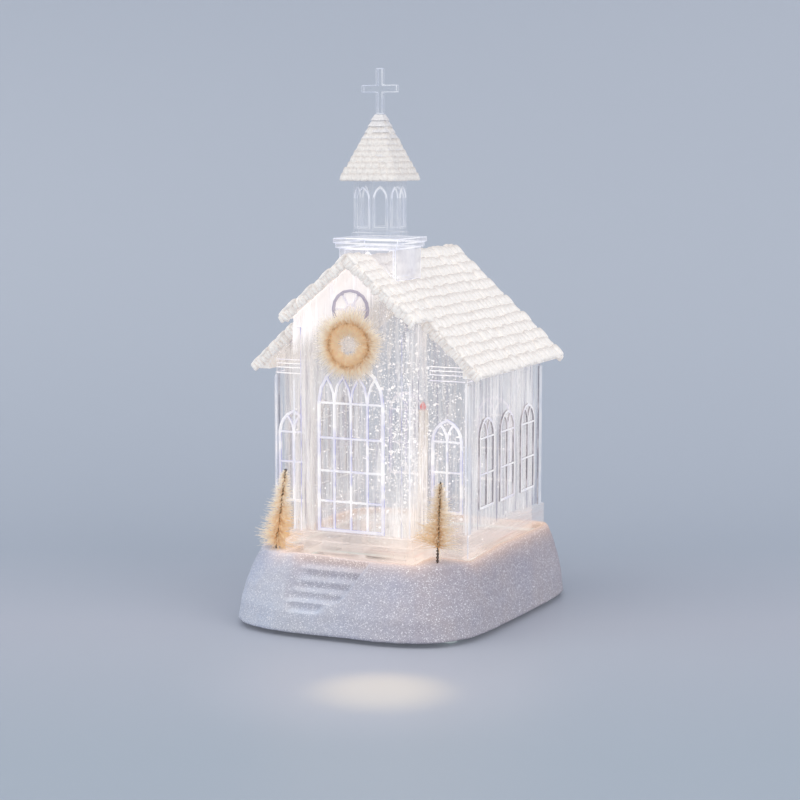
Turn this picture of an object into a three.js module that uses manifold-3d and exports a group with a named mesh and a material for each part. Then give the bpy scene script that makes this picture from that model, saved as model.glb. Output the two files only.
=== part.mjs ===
// A water-filled lighted church: a clear moulded church on a snowy base, with a battery light,
// and a motor under the tank floor that turns a magnetic stirrer in the water.
// Millimetres, +Z up, front of the church faces -Y, origin under the middle of the base.

import * as THREE from 'three';
import { mergeVertices } from 'three/addons/utils/BufferGeometryUtils.js';
import Module from 'manifold-3d';

const wasm = await Module();
wasm.setup();

// Clearances
const seatGap = 0.3;
const spinGap = 0.15;
const slideGap = 0.35;
const sweepGap = 0.5;

// Snow base
const footHeight = 1.9;
const footRadius = 5;
const baseHeight = 33.8;
const baseFront = { halfWidth: 64, halfDepth: 80, power: 4 };
const baseBack = { halfWidth: 70, halfDepth: 80, power: 6 };
const snowFront = { halfWidth: 57.5, halfDepth: 66, power: 3.2 };
const snowBack = { halfWidth: 59, halfDepth: 76, power: 8 };
const moundCurve = 1.7;
const moundSides = 60;
const moundLevels = 4;
const driftHeight = 0.5;
const crownRise = 0.5;
const roomSides = 40;
const baseWall = 3;
const ledgeDepth = 6;
const ledgeWidth = 9;
const bossRadius = 4;
const bossHoleRadius = 1.5;

// Heights named Rise are measured from the snow line, where the church meets the base

// Steps in the front of the base, and the banks of snow beside them. A bank is given at places
// ahead of the top step: how far its foot lies under the snow line, and how far its two sides
// reach, left and right of the middle of the base, at that foot and at its rim.
const stepCount = 5;
const stepRise = 4.7;
const stepRun = 3.6;
const landing = 2.7;
const bankHeight = 22;
const stairBanks = [
  { ahead: -4, drop: 7, foot: [-15, 10], rim: [-35, 22] },
  { ahead: 7.4, drop: 16, foot: [-15.5, 5], rim: [-37.5, 17] },
  { ahead: 13.4, drop: 25, foot: [-19.5, -1], rim: [-41.5, 11] },
  { ahead: 17.8, drop: 27, foot: [-22, -15], rim: [-44, -2] },
];

// Church plan and walls
const naveHalfWidth = 51.2;
const naveFrontY = -35;
const naveBackY = 63.7;
const bayHalfWidth = 30.7;
const bayFrontY = -55.2;
const wall = 3;
const plinthRise = 11.3;
const plinthProud = 1.8;
const stepCourseRise = 7.3;
const stepCourseProud = 3.4;
const pilasterWidth = 4;
const relief = 0.9;
const reliefRoot = 0.6;

// Roofs
const naveRidgeRise = 144;
const naveEaveX = 60.7;
const naveEaveRise = 89.4;
const bayRidgeRise = 145;
const bayEaveX = 35.2;
const bayEaveRise = 116;
const roofDrop = 4;
const soffitDrop = 1.8;
const roofOverhang = 5.9;
const bayOverhang = 4.6;
const naveCourses = 13;
const bayCourses = 8;
const courseStep = 1.1;

// Windows and door
const sideWindow = { halfWidth: 9.6, sill: 21.2, spring: 56, head: 10, lights: 2, bars: [38.3] };
const sideWindowY = [-11, 16, 44];
const frontWindow = { halfWidth: 8.1, sill: 21.2, spring: 56, head: 11, lights: 2, bars: [41.2] };
const frontWindowX = 41.3;
const door = { halfWidth: 17.6, sill: 12.2, spring: 74.5, head: 21, lights: 4, bars: [26.9, 41.6, 57.6] };
const archSteps = 4;
const frameWidth = 1.3;
const barWidth = 0.9;
const roseRise = 119.5;
const roseRadius = 9.7;
const roseHubRadius = 3;
const roseSpokes = 6;

// Tower, belfry, steeple and cross
const towerY = -22.4;
const towerHalf = 15.05;
const towerWall = 2;
const deckRise = 148;
const deckLowerHalf = 16.4;
const deckHalf = 17.25;
const deckTierHeight = 2.2;
const belfryHalf = 9.65;
const belfryHeight = 26.8;
const belfryWall = 1.8;
const belfryFootHalf = 10.4;
const belfryFootHeight = 2.2;
const belfryArch = { halfWidth: 3.7, sill: 4, spring: 18.6, head: 5.6 };
const belfryArchPitch = 9.2;
const belfryFrameWidth = 0.8;
const belfryRelief = 0.6;
const steepleHalf = 14.5;
const steepleTopHalf = 1.9;
const steepleHeight = 31.6;
const steepleFlare = 1.05;
const steepleLip = 1.5;
const steepleCourses = 11;
const steepleStep = 0.6;
const crossHeight = 21.8;
const crossSpan = 18.8;
const crossBar = 3.6;
const crossDepth = 2.8;
const crossArmRise = 12;

// Tank floor, gasket, bung and water
const flangeThickness = 2;
const gasketThickness = 0.8;
const waterRise = 124;
const bungRadius = 4;
const bungHeadRadius = 5.5;
const bungHeadThickness = 1.8;
const bungX = -30;
const bungY = -14;

// Stirrer in the tank and its guard
const driveX = 0;
const driveY = -14;
const stirrerRadius = 10;
const stirrerDisc = 3;
const bladeHeight = 3.4;
const bladeThickness = 1.4;
const bladeCount = 4;
const pinRadius = 1;
const pinDepth = 1.6;
const pinLength = 12;
const hubWall = 1.5;
const cageRadius = 13.2;
const cageWall = 1.2;
const cageHeight = 11.6;
const cageSlots = 6;
const cageSlotWidth = 3.4;
const magnetRadius = 2.5;
const magnetThickness = 2;
const magnetOrbit = 6.2;

// Candle in the tank
const candleX = 10.7;
const candleY = 5;
const candleRadius = 2.4;
const candleHeight = 64;
const candleFootRadius = 4.6;
const candleFootHeight = 3;
const flameRadius = 1.7;
const flameHeight = 4;

// Bottom plate and battery box
const plateThickness = 2.2;
const plateInset = 0.7;
const cellRadius = 7.1;
const cellLength = 50.3;
const nubLength = 1.1;
const nubRadius = 2.7;
const cellPitch = 15.2;
const cellCount = 3;
const boxHalfLength = 29.4;
const boxCentreY = 35.4;
const boxWall = 1.5;
const boxEndRoom = 1.1;
const doorThickness = 2;
const doorPinRadius = 0.8;
const doorPinLength = 1.3;
const doorHeel = 1;
const doorHeelRoom = 1.3;
const catchLength = 3;
const catchReach = 1.6;
const catchThickness = 1.5;
const gripPitch = 3;
const gripWidth = 1;
const gripLength = 6;
const gripDepth = 0.4;
const contactThickness = 0.5;
const contactWidth = 9;
const contactHeight = 10;
const domeHeight = 0.9;
const springRadius = 3.4;
const springTurns = 3;
const springWire = 0.4;

// Motor, drive shaft and magnet hub
const motorRadius = 10;
const motorHeight = 12.4;
const motorBossRadius = 3;
const motorBossHeight = 1.4;
const cupWall = 1.4;
const cupHeight = 4;
const shaftRadius = 1;
const shaftInMotor = 7;
const hubRadius = 11;
const hubThickness = 4;
const hubCollar = 2;
const hubIntoFloor = 1.3;
const wellClearance = 1.4;
const bracketThickness = 1.6;
const bracketHalfLength = 19;
const bracketHalfWidth = 9;
const postSpacing = 15.4;
const postRadius = 3;
const screwRadius = 1.1;
const screwHeadRadius = 2.3;
const screwHeadHeight = 1.2;
const screwLength = 8;

// Light board
const boardY = -39;
const boardHalfLength = 27;
const boardHalfWidth = 7;
const boardThickness = 1.6;
const boardRise = 11.6;
const boardPostX = 22;
const boardPostRadius = 2.2;
const boardPegRadius = 0.9;
const ledX = [-16, 16];
const ledRadius = 2.5;
const ledRimRadius = 3;
const ledHeight = 8.4;
const chipLength = 5;
const chipWidth = 4;
const chipHeight = 1.6;

// Slide switch
const switchX = -44;
const switchY = -8;
const switchHalfWidth = 3.6;
const switchHalfLength = 8;
const switchHeight = 6;
const switchTravel = 4;
const sliderHalfWidth = 2.1;
const sliderHalfLength = 2.5;
const sliderFlange = 1.2;
const knobHalfWidth = 1.2;
const knobHalfLength = 1.5;
const knobProud = 1.1;
const clipThickness = 1.6;
const clipHeight = 5;

// Base screws, by place
const baseScrewPlaces = [[-47, -40], [47, -40], [-47, 44], [47, 44]];
const baseScrewLength = 11;
const footPlaces = [[-50, -54], [50, -54], [-51, 64], [51, 64]];

// Leads in the base
const leadRadius = 0.6;
const leadSides = 5;
const leadSteps = 15;
const leadLoop = 3.2;

// Brush trees and wreath
const stemRadius = 0.8;
const treeBristleWidth = 0.5;
const treeStrands = 112;
const bristleRise = 0.32;
const treeHoleDepth = 5;
const rightTree = { x: 42.6, y: -50, sunk: 1, bareStem: 8, height: 40, radius: 8.6, lean: 0.04 };
const leftTree = { x: -44, y: -50, sunk: 1, bareStem: 2.6, height: 41, radius: 8.6, lean: 0.14 };
const wreathX = 1.6;
const wreathRise = 103;
const wreathRingRadius = 10.4;
const wreathWire = 0.7;
const wreathOut = 7.6;
const wreathIn = 6.2;
const wreathDepth = 4.4;
const wreathStrands = 156;
const wreathStrandWidth = 0.5;

// Places that follow from the sizes above
const stepTopY = bayFrontY - stepCourseProud - seatGap - landing;
const rimZ = footHeight + seatGap;
const snowZ = rimZ + baseHeight;
const ledgeZ = snowZ - ledgeDepth;
const roomTopZ = ledgeZ - baseWall;
const plateTopZ = rimZ + plateThickness;
const flangeZ = ledgeZ + seatGap;
const flangeTopZ = flangeZ + flangeThickness;
const gasketZ = flangeTopZ + seatGap;
const bodyZ = gasketZ + gasketThickness + seatGap;
const floorTopZ = bodyZ + wall;
const tankZ = floorTopZ + seatGap;
const hubTopZ = flangeZ + hubIntoFloor;
const boardZ = plateTopZ + boardRise;
const plinthTopZ = snowZ + plinthRise;
const stepCourseZ = snowZ + stepCourseRise;
const naveRidgeZ = snowZ + naveRidgeRise;
const naveEaveZ = snowZ + naveEaveRise;
const bayRidgeZ = snowZ + bayRidgeRise;
const bayEaveZ = snowZ + bayEaveRise;
const roseZ = snowZ + roseRise;
const waterLevelZ = snowZ + waterRise;
const wreathZ = snowZ + wreathRise;
const candleTopZ = tankZ + candleHeight;
const deckZ = snowZ + deckRise;
const deckTopZ = deckZ + 2 * deckTierHeight;
const belfryZ = deckTopZ + seatGap;
const belfryTopZ = belfryZ + belfryHeight;
const steepleZ = belfryTopZ + seatGap;
const steepleTopZ = steepleZ + steepleHeight;
const crossZ = steepleTopZ + seatGap;

const church = new THREE.Group();

// Solids

function solid(geometry) {
  const plain = geometry.clone();
  plain.deleteAttribute('normal');
  plain.deleteAttribute('uv');
  const merged = mergeVertices(plain, 1e-4);
  return new wasm.Manifold(new wasm.Mesh({
    numProp: 3,
    vertProperties: new Float32Array(merged.attributes.position.array),
    triVerts: new Uint32Array(merged.index.array),
  }));
}

function join(...solids) {
  return solids.reduce((whole, piece) => whole.add(piece));
}

function cut(body, ...cutters) {
  return cutters.reduce((rest, cutter) => rest.subtract(cutter), body);
}

function add(name, body, finish, placing = new THREE.Matrix4()) {
  const mesh = body.getMesh();
  const geometry = new THREE.BufferGeometry();
  geometry.setAttribute('position', new THREE.BufferAttribute(mesh.vertProperties, 3));
  geometry.setIndex(new THREE.BufferAttribute(mesh.triVerts, 1));
  geometry.applyMatrix4(placing);
  geometry.computeVertexNormals();
  const part = new THREE.Mesh(geometry, finish);
  part.name = name;
  church.add(part);
}

function box(x0, x1, y0, y1, z0, z1) {
  const geometry = new THREE.BoxGeometry(x1 - x0, y1 - y0, z1 - z0);
  geometry.translate((x0 + x1) / 2, (y0 + y1) / 2, (z0 + z1) / 2);
  return solid(geometry);
}

function cylinder(radius, z0, z1, x = 0, y = 0, sides = 24, topRadius = radius) {
  const geometry = new THREE.CylinderGeometry(topRadius, radius, z1 - z0, sides);
  geometry.rotateX(Math.PI / 2);
  geometry.translate(x, y, (z0 + z1) / 2);
  return solid(geometry);
}

function cylinderX(radius, x0, x1, y, z, sides = 16) {
  const geometry = new THREE.CylinderGeometry(radius, radius, x1 - x0, sides);
  geometry.rotateZ(-Math.PI / 2);
  geometry.translate((x0 + x1) / 2, y, z);
  return solid(geometry);
}

// A profile [radius, z] turned round the vertical through x, y
function turned(profile, x = 0, y = 0, sides = 24) {
  const geometry = new THREE.LatheGeometry(profile.map(([r, z]) => new THREE.Vector2(r, z)), sides);
  geometry.rotateX(Math.PI / 2);
  geometry.translate(x, y, 0);
  return solid(geometry);
}

function shapeOf(outline, holes = []) {
  const shape = new THREE.Shape(outline.map(([u, v]) => new THREE.Vector2(u, v)));
  for (const hole of holes) {
    shape.holes.push(new THREE.Path(hole.map(([u, v]) => new THREE.Vector2(u, v))));
  }
  return shape;
}

function slab(outline, holes, from, to) {
  const depth = to - from;
  const geometry = new THREE.ExtrudeGeometry(shapeOf(outline, holes), { depth, bevelEnabled: false });
  geometry.translate(0, 0, from);
  return geometry;
}

function prismZ(outline, z0, z1, holes = []) {
  return solid(slab(outline, holes, z0, z1));
}

// An [x, z] outline run along Y
function prismY(outline, y0, y1, holes = []) {
  const geometry = slab(outline, holes, -y1, -y0);
  geometry.rotateX(Math.PI / 2);
  return solid(geometry);
}

// A [y, z] outline run along X
function prismX(outline, x0, x1, holes = []) {
  const geometry = slab(outline, holes, x0, x1);
  const alongX = new THREE.Matrix4().makeBasis(
    new THREE.Vector3(0, 1, 0),
    new THREE.Vector3(0, 0, 1),
    new THREE.Vector3(1, 0, 0),
  );
  geometry.applyMatrix4(alongX);
  return solid(geometry);
}

// Rings of equal numbers of points, closed at both ends by a fan
function loft(rings) {
  const count = rings[0].length;
  const positions = rings.flat(2);
  const centres = [rings[0], rings[rings.length - 1]].map((ring) => {
    const sum = ring.reduce((total, point) => total.map((value, axis) => value + point[axis]), [0, 0, 0]);
    return sum.map((value) => value / count);
  });
  positions.push(...centres.flat());
  const bottom = rings.length * count;
  const top = bottom + 1;
  const index = [];
  for (let i = 0; i < count; i += 1) {
    const next = (i + 1) % count;
    for (let k = 0; k < rings.length - 1; k += 1) {
      const low = k * count;
      const high = low + count;
      index.push(low + i, low + next, high + next);
      index.push(low + i, high + next, high + i);
    }
    const last = (rings.length - 1) * count;
    index.push(bottom, next, i);
    index.push(top, last + i, last + next);
  }
  const geometry = new THREE.BufferGeometry();
  geometry.setAttribute('position', new THREE.Float32BufferAttribute(positions, 3));
  geometry.setIndex(index);
  return solid(geometry);
}

// Finishes

function finish(color, roughness, metalness = 0, opacity = 1) {
  return new THREE.MeshStandardMaterial({
    color,
    roughness,
    metalness,
    opacity,
    transparent: opacity < 1,
  });
}

const snowFinish = finish(0xe8e6ee, 0.85);
const clearFinish = finish(0xf2f5fa, 0.05, 0, 0.3);
const frostedFinish = finish(0xf4f1ec, 0.7);
const waterFinish = finish(0xe6eef5, 0.02, 0, 0.2);
const bristleFinish = finish(0xd8b98a, 0.8);
const wireFinish = finish(0x4a4038, 0.5, 0.8);
const whitePlastic = finish(0xe9e9e6, 0.5);
const blackPlastic = finish(0x202225, 0.5);
const rubberFinish = finish(0xd9e6e2, 0.6, 0, 0.8);
const steelFinish = finish(0xb8bbbf, 0.3, 1);
const brassFinish = finish(0xc9a75c, 0.35, 1);
const candleFinish = finish(0xe9dcc4, 0.5);
const flameFinish = finish(0xb03030, 0.4);
const boardFinish = finish(0x2f6b45, 0.6);
const ledFinish = finish(0xfff2cf, 0.1, 0, 0.7);
const cellFinish = finish(0x8d9298, 0.35, 0.4);
const redFinish = finish(0xb22222, 0.5);

// Snow base: a rounded mound, wider at the back, whose sides draw in towards the top

function lerp(from, to, share) {
  return from + (to - from) * share;
}

function outlineRadius(front, back, angle) {
  const share = (1 + Math.sin(angle)) / 2;
  const halfWidth = lerp(front.halfWidth, back.halfWidth, share);
  const halfDepth = Math.sin(angle) < 0 ? front.halfDepth : back.halfDepth;
  const power = lerp(front.power, back.power, share);
  const x = Math.abs(Math.cos(angle)) / halfWidth;
  const y = Math.abs(Math.sin(angle)) / halfDepth;
  return (x ** power + y ** power) ** (-1 / power);
}

function moundRadius(angle, z) {
  const rise = THREE.MathUtils.clamp((z - rimZ) / baseHeight, 0, 1);
  const bottom = outlineRadius(baseFront, baseBack, angle);
  const top = outlineRadius(snowFront, snowBack, angle);
  return lerp(bottom, top, rise ** moundCurve);
}

function moundRing(z, inset, sides, share = 1, lift = 0) {
  return Array.from({ length: sides }, (_, i) => {
    const angle = (i / sides) * 2 * Math.PI;
    const radius = (moundRadius(angle, z) - inset) * share;
    const drift = Math.sin(3 * angle + 1) + 0.6 * Math.sin(7 * angle + 2);
    return [radius * Math.cos(angle), radius * Math.sin(angle), z + lift * drift];
  });
}

function moundSolid() {
  const rings = [];
  for (let k = 0; k <= moundLevels; k += 1) {
    const share = k / moundLevels;
    const height = rimZ + baseHeight * share ** 0.85;
    rings.push(moundRing(height, 0, moundSides, 1, driftHeight * share ** 3));
  }
  rings.push(moundRing(snowZ + crownRise, 0, moundSides, 0.96, driftHeight));
  rings.push(moundRing(snowZ + crownRise, 0, moundSides, 0.8, driftHeight / 2));
  return loft(rings);
}

function roomSolid() {
  const heights = [rimZ - 1, lerp(rimZ, roomTopZ, 0.35), lerp(rimZ, roomTopZ, 0.7), roomTopZ];
  return loft(heights.map((z) => moundRing(z, baseWall, roomSides)));
}

// The air over the stair flight, moved inwards by a wall for the room under it
function stairAir(inward) {
  const sky = snowZ + 20;
  const startY = stepTopY + inward;
  const outline = [[startY, sky]];
  for (let k = 1; k <= stepCount; k += 1) {
    const treadZ = snowZ - stepRise * k - inward;
    outline.push([startY - stepRun * (k - 1), treadZ]);
    outline.push([startY - stepRun * k, treadZ]);
  }
  const lowZ = snowZ - stepRise * stepCount - inward;
  const outY = -baseFront.halfDepth - 10;
  outline[outline.length - 1] = [outY, lowZ];
  outline.push([outY, sky]);
  return prismX(outline, -snowFront.halfWidth, snowFront.halfWidth);
}

// The air between the two banks beside the steps
function stairTrough(outward) {
  return loft(stairBanks.map(({ ahead, drop, foot, rim }) => {
    const y = stepTopY - ahead;
    const footZ = snowZ - drop - outward;
    const rimTopZ = snowZ - drop + bankHeight;
    return [
      [foot[0] - outward, y, footZ],
      [foot[1] + outward, y, footZ],
      [rim[1] + outward, y, rimTopZ],
      [rim[0] - outward, y, rimTopZ],
    ];
  }));
}

// Plan of the church grown outwards: the nave and the bay in front of it
function churchPlan(naveOut, bayOut, z0, z1) {
  return join(
    box(
      -naveHalfWidth - naveOut, naveHalfWidth + naveOut,
      naveFrontY - naveOut, naveBackY + naveOut, z0, z1,
    ),
    box(-bayHalfWidth - bayOut, bayHalfWidth + bayOut, bayFrontY - bayOut, naveFrontY + wall, z0, z1),
  );
}

function leanMatrix(tree) {
  const matrix = new THREE.Matrix4().makeRotationY(tree.lean);
  matrix.setPosition(tree.x, tree.y, snowZ - tree.sunk);
  return matrix;
}

function treeHole(tree) {
  const radius = stemRadius + seatGap;
  const length = baseHeight;
  const geometry = new THREE.CylinderGeometry(radius, radius, length, 10);
  geometry.rotateX(Math.PI / 2);
  geometry.translate(0, 0, length / 2 - treeHoleDepth);
  geometry.applyMatrix4(leanMatrix(tree));
  return solid(geometry);
}

function snowBase() {
  const stairCut = stairAir(0).intersect(stairTrough(0));
  const roomCut = stairAir(baseWall).intersect(stairTrough(baseWall));
  const mound = cut(
    moundSolid(),
    stairCut,
    churchPlan(plinthProud + seatGap, stepCourseProud + seatGap, ledgeZ, snowZ + 10),
    treeHole(leftTree),
    treeHole(rightTree),
  );
  const bosses = baseScrewPlaces.map(([x, y]) => (
    cylinder(bossRadius, plateTopZ + seatGap, roomTopZ + 1, x, y, 16)
  ));
  const holes = baseScrewPlaces.map(([x, y]) => (
    cylinder(bossHoleRadius, rimZ, rimZ + baseScrewLength + 2, x, y, 12)
  ));
  const room = cut(roomSolid(), roomCut);
  const naveIn = plinthProud - ledgeWidth;
  const bayIn = stepCourseProud - ledgeWidth - 2;
  const window = churchPlan(naveIn, bayIn, roomTopZ - 1, snowZ);
  return cut(join(cut(mound, room), ...bosses), window, ...holes);
}

add('snow_base', snowBase(), snowFinish);

// Tracery: a pointed frame with upright bars, cross bars and crossing ribs in its head
// How far past the middle an arch's circle is centred, for a head of this height
function archCentre(halfWidth, head) {
  return (head ** 2 - halfWidth ** 2) / (2 * halfWidth);
}

function archOutline(halfWidth, sill, spring, centre) {
  const radius = halfWidth + centre;
  const end = Math.acos(centre / radius);
  const right = Array.from({ length: archSteps + 1 }, (_, i) => {
    const angle = (end * i) / archSteps;
    return [-centre + radius * Math.cos(angle), spring + radius * Math.sin(angle)];
  });
  const left = right.slice(0, -1).reverse().map(([u, v]) => [-u, v]);
  return [[-halfWidth, sill], [halfWidth, sill], ...right, ...left];
}

function ribOutline(start, lean, radius, halfWidth) {
  const centre = start + lean * radius;
  const endX = (start + lean * halfWidth) / 2;
  const end = Math.acos(Math.abs(endX - centre) / radius);
  const steps = archSteps - 1;
  const side = (r) => Array.from({ length: steps + 1 }, (_, i) => {
    const angle = (end * i) / steps;
    return [centre - lean * r * Math.cos(angle), r * Math.sin(angle)];
  });
  return [...side(radius - barWidth / 2), ...side(radius + barWidth / 2).reverse()];
}

function tracery(window) {
  const { halfWidth, head, lights } = window;
  const sillZ = snowZ + window.sill;
  const springZ = snowZ + window.spring;
  const barZ = window.bars.map((height) => snowZ + height);
  const centre = archCentre(halfWidth, head);
  const radius = halfWidth + centre;
  const inner = halfWidth - frameWidth;
  const thickness = [-reliefRoot, relief];
  const bar = (u0, u1, v0, v1) => slab([[u0, v0], [u1, v0], [u1, v1], [u0, v1]], [], ...thickness);
  const pieces = [slab(
    archOutline(halfWidth, sillZ, springZ, centre),
    [archOutline(inner, sillZ + frameWidth, springZ, centre)],
    ...thickness,
  )];
  for (const z of [...barZ, springZ]) {
    pieces.push(bar(-inner - 0.2, inner + 0.2, z - barWidth / 2, z + barWidth / 2));
  }
  for (let i = 1; i < lights; i += 1) {
    const u = halfWidth * ((2 * i) / lights - 1);
    pieces.push(bar(u - barWidth / 2, u + barWidth / 2, sillZ + frameWidth / 2, springZ));
    for (const lean of [-1, 1]) {
      const rib = slab(ribOutline(u, lean, radius, halfWidth), [], ...thickness);
      rib.translate(0, springZ, 0);
      pieces.push(rib);
    }
  }
  return pieces;
}

function ringOutline(radius, steps = 16) {
  return Array.from({ length: steps }, (_, i) => {
    const angle = (i / steps) * 2 * Math.PI;
    return [radius * Math.cos(angle), radius * Math.sin(angle)];
  });
}

function roseWindow() {
  const thickness = [-reliefRoot, relief];
  const pieces = [
    slab(ringOutline(roseRadius), [ringOutline(roseRadius - frameWidth)], ...thickness),
    slab(ringOutline(roseHubRadius, 8), [ringOutline(roseHubRadius - barWidth, 8)], ...thickness),
  ];
  for (let i = 0; i < roseSpokes; i += 1) {
    const spoke = slab([
      [roseHubRadius - barWidth / 2, -barWidth / 2],
      [roseRadius - frameWidth / 2, -barWidth / 2],
      [roseRadius - frameWidth / 2, barWidth / 2],
      [roseHubRadius - barWidth / 2, barWidth / 2],
    ], [], ...thickness);
    spoke.rotateZ((i / roseSpokes) * 2 * Math.PI);
    pieces.push(spoke);
  }
  pieces.forEach((piece) => piece.translate(0, roseZ, 0));
  return pieces;
}

// Puts flat pieces, drawn seen from outside, on a wall that faces front, right, back or left
function onWall(pieces, facing, x, y) {
  const out = {
    front: [0, -1],
    right: [1, 0],
    back: [0, 1],
    left: [-1, 0],
  }[facing];
  const matrix = new THREE.Matrix4().makeBasis(
    new THREE.Vector3(-out[1], out[0], 0),
    new THREE.Vector3(0, 0, 1),
    new THREE.Vector3(out[0], out[1], 0),
  );
  matrix.setPosition(x, y, 0);
  return pieces.map((piece) => solid(piece.clone().applyMatrix4(matrix)));
}

// Clear church body: walls with gables, open below and under the roof

const naveSlope = (naveRidgeZ - naveEaveZ) / naveEaveX;
const baySlope = (bayRidgeZ - bayEaveZ) / bayEaveX;

function gableOutline(halfWidth, lowZ, ridgeZ, slope, drop) {
  const peakZ = ridgeZ - drop;
  return [
    [-halfWidth, lowZ],
    [halfWidth, lowZ],
    [halfWidth, peakZ - slope * halfWidth],
    [0, peakZ],
    [-halfWidth, peakZ - slope * halfWidth],
  ];
}

function churchBody() {
  const underRoof = roofDrop + seatGap;
  const shell = join(
    prismY(gableOutline(naveHalfWidth, bodyZ, naveRidgeZ, naveSlope, underRoof), naveFrontY, naveBackY),
    prismY(gableOutline(bayHalfWidth, bodyZ, bayRidgeZ, baySlope, underRoof), bayFrontY, naveFrontY),
    churchPlan(plinthProud, plinthProud, bodyZ, plinthTopZ),
    churchPlan(0, stepCourseProud, bodyZ, stepCourseZ),
  );
  const hollow = join(
    box(-naveHalfWidth + wall, naveHalfWidth - wall, naveFrontY + wall, naveBackY - wall, 0, naveRidgeZ),
    box(-bayHalfWidth + wall, bayHalfWidth - wall, bayFrontY + wall, naveFrontY + 2 * wall, 0, bayRidgeZ),
  );
  const details = [
    ...onWall(tracery(door), 'front', 0, bayFrontY),
    ...onWall(roseWindow(), 'front', 0, bayFrontY),
  ];
  for (const side of [-1, 1]) {
    details.push(...onWall(tracery(frontWindow), 'front', side * frontWindowX, naveFrontY));
    details.push(...onWall(tracery(sideWindow), 'back', side * naveHalfWidth / 2, naveBackY));
    for (const y of sideWindowY) {
      details.push(...onWall(tracery(sideWindow), side > 0 ? 'right' : 'left', side * naveHalfWidth, y));
    }
  }
  return join(cut(shell, hollow), ...details, ...pilasters());
}

function pilasters() {
  const naveTop = naveRidgeZ - roofDrop - soffitDrop - naveSlope * naveEaveX;
  const bayTop = bayRidgeZ - roofDrop - soffitDrop - baySlope * bayEaveX;
  const strips = [];
  for (const side of [-1, 1]) {
    const bayX = [bayHalfWidth - pilasterWidth, bayHalfWidth].map((x) => side * x).sort((a, b) => a - b);
    strips.push(box(...bayX, bayFrontY - relief, bayFrontY + reliefRoot, plinthTopZ - 1, bayTop));
    const wallX = side * naveHalfWidth;
    const naveX = [wallX - side * reliefRoot, wallX + side * relief].sort((a, b) => a - b);
    for (const y of [naveFrontY, naveBackY - pilasterWidth]) {
      strips.push(box(...naveX, y, y + pilasterWidth, plinthTopZ - 1, naveTop));
    }
  }
  return strips;
}

add('church_body', churchBody(), clearFinish);

// Roof: nave and bay roofs in one moulding, in courses that step down from ridge to eave

function roofOutline(ridgeZ, eaveX, eaveZ, courses) {
  const right = [];
  for (let k = 0; k < courses; k += 1) {
    const lowShare = k / courses;
    const highShare = (k + 1) / courses;
    right.push([lerp(eaveX, 0, lowShare), lerp(eaveZ, ridgeZ, lowShare) + (k === 0 ? 0 : courseStep)]);
    right.push([lerp(eaveX, 0, highShare), lerp(eaveZ, ridgeZ, highShare)]);
  }
  const left = right.slice(0, -1).reverse().map(([x, z]) => [-x, z]);
  return [[-eaveX, eaveZ - soffitDrop], [eaveX, eaveZ - soffitDrop], ...right, ...left];
}

function roof() {
  const naveY = [naveFrontY - roofOverhang, naveBackY + roofOverhang];
  const bayY = [bayFrontY - bayOverhang, naveFrontY - roofOverhang + wall];
  const whole = join(
    prismY(roofOutline(naveRidgeZ, naveEaveX, naveEaveZ, naveCourses), ...naveY),
    prismY(roofOutline(bayRidgeZ, bayEaveX, bayEaveZ, bayCourses), ...bayY),
  );
  const naveAir = gableOutline(naveHalfWidth + seatGap, 0, naveRidgeZ, naveSlope, roofDrop);
  const bayAir = gableOutline(bayHalfWidth + seatGap, 0, bayRidgeZ, baySlope, roofDrop);
  return cut(
    whole,
    prismY(naveAir, naveY[0] - 1, naveY[1] + 1),
    prismY(bayAir, bayY[0] - 1, naveFrontY + seatGap),
  );
}

add('roof', roof(), frostedFinish);

// Tower base with its deck, saddled on the ridge

function towerDeck() {
  const lift = courseStep + seatGap;
  const ridge = naveRidgeZ + lift;
  const saddle = [
    [-towerHalf, deckZ],
    [-towerHalf, ridge - naveSlope * towerHalf],
    [0, ridge],
    [towerHalf, ridge - naveSlope * towerHalf],
    [towerHalf, deckZ],
  ].reverse();
  const inner = towerHalf - towerWall;
  const middleZ = deckZ + deckTierHeight;
  const square = (half, z0, z1) => box(-half, half, towerY - half, towerY + half, z0, z1);
  return join(
    cut(prismY(saddle, towerY - towerHalf, towerY + towerHalf), square(inner, 0, deckZ - 1)),
    square(deckLowerHalf, deckZ - 0.5, middleZ),
    square(deckHalf, middleZ - 0.3, deckTopZ),
  );
}

add('tower_deck', towerDeck(), clearFinish);

// Belfry: four plain walls on a foot, each with two narrow pointed windows in relief

function belfryWindows() {
  const { halfWidth, sill, spring, head } = belfryArch;
  const centre = archCentre(halfWidth, head);
  const inner = halfWidth - belfryFrameWidth;
  const sillZ = belfryZ + sill;
  const springZ = belfryZ + spring;
  return [-0.5, 0.5].map((share) => {
    const frame = slab(
      archOutline(halfWidth, sillZ, springZ, centre),
      [archOutline(inner, sillZ + belfryFrameWidth, springZ, centre)],
      -belfryRelief,
      belfryRelief,
    );
    frame.translate(share * belfryArchPitch, 0, 0);
    return frame;
  });
}

function belfry() {
  const square = (half, z0, z1) => box(-half, half, towerY - half, towerY + half, z0, z1);
  const walls = cut(
    join(
      square(belfryHalf, belfryZ, belfryTopZ),
      square(belfryFootHalf, belfryZ, belfryZ + belfryFootHeight),
    ),
    square(belfryHalf - belfryWall, belfryZ - 1, belfryTopZ + 1),
  );
  return join(
    walls,
    ...onWall(belfryWindows(), 'front', 0, towerY - belfryHalf),
    ...onWall(belfryWindows(), 'right', belfryHalf, towerY),
    ...onWall(belfryWindows(), 'back', 0, towerY + belfryHalf),
    ...onWall(belfryWindows(), 'left', -belfryHalf, towerY),
  );
}

add('belfry', belfry(), clearFinish);

// Steeple roof: a four-sided cone in courses, with an upright lip at the eaves

function steepleRing(half, z) {
  return [[-half, -half], [half, -half], [half, half], [-half, half]].map(([x, y]) => [x, y + towerY, z]);
}

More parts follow.
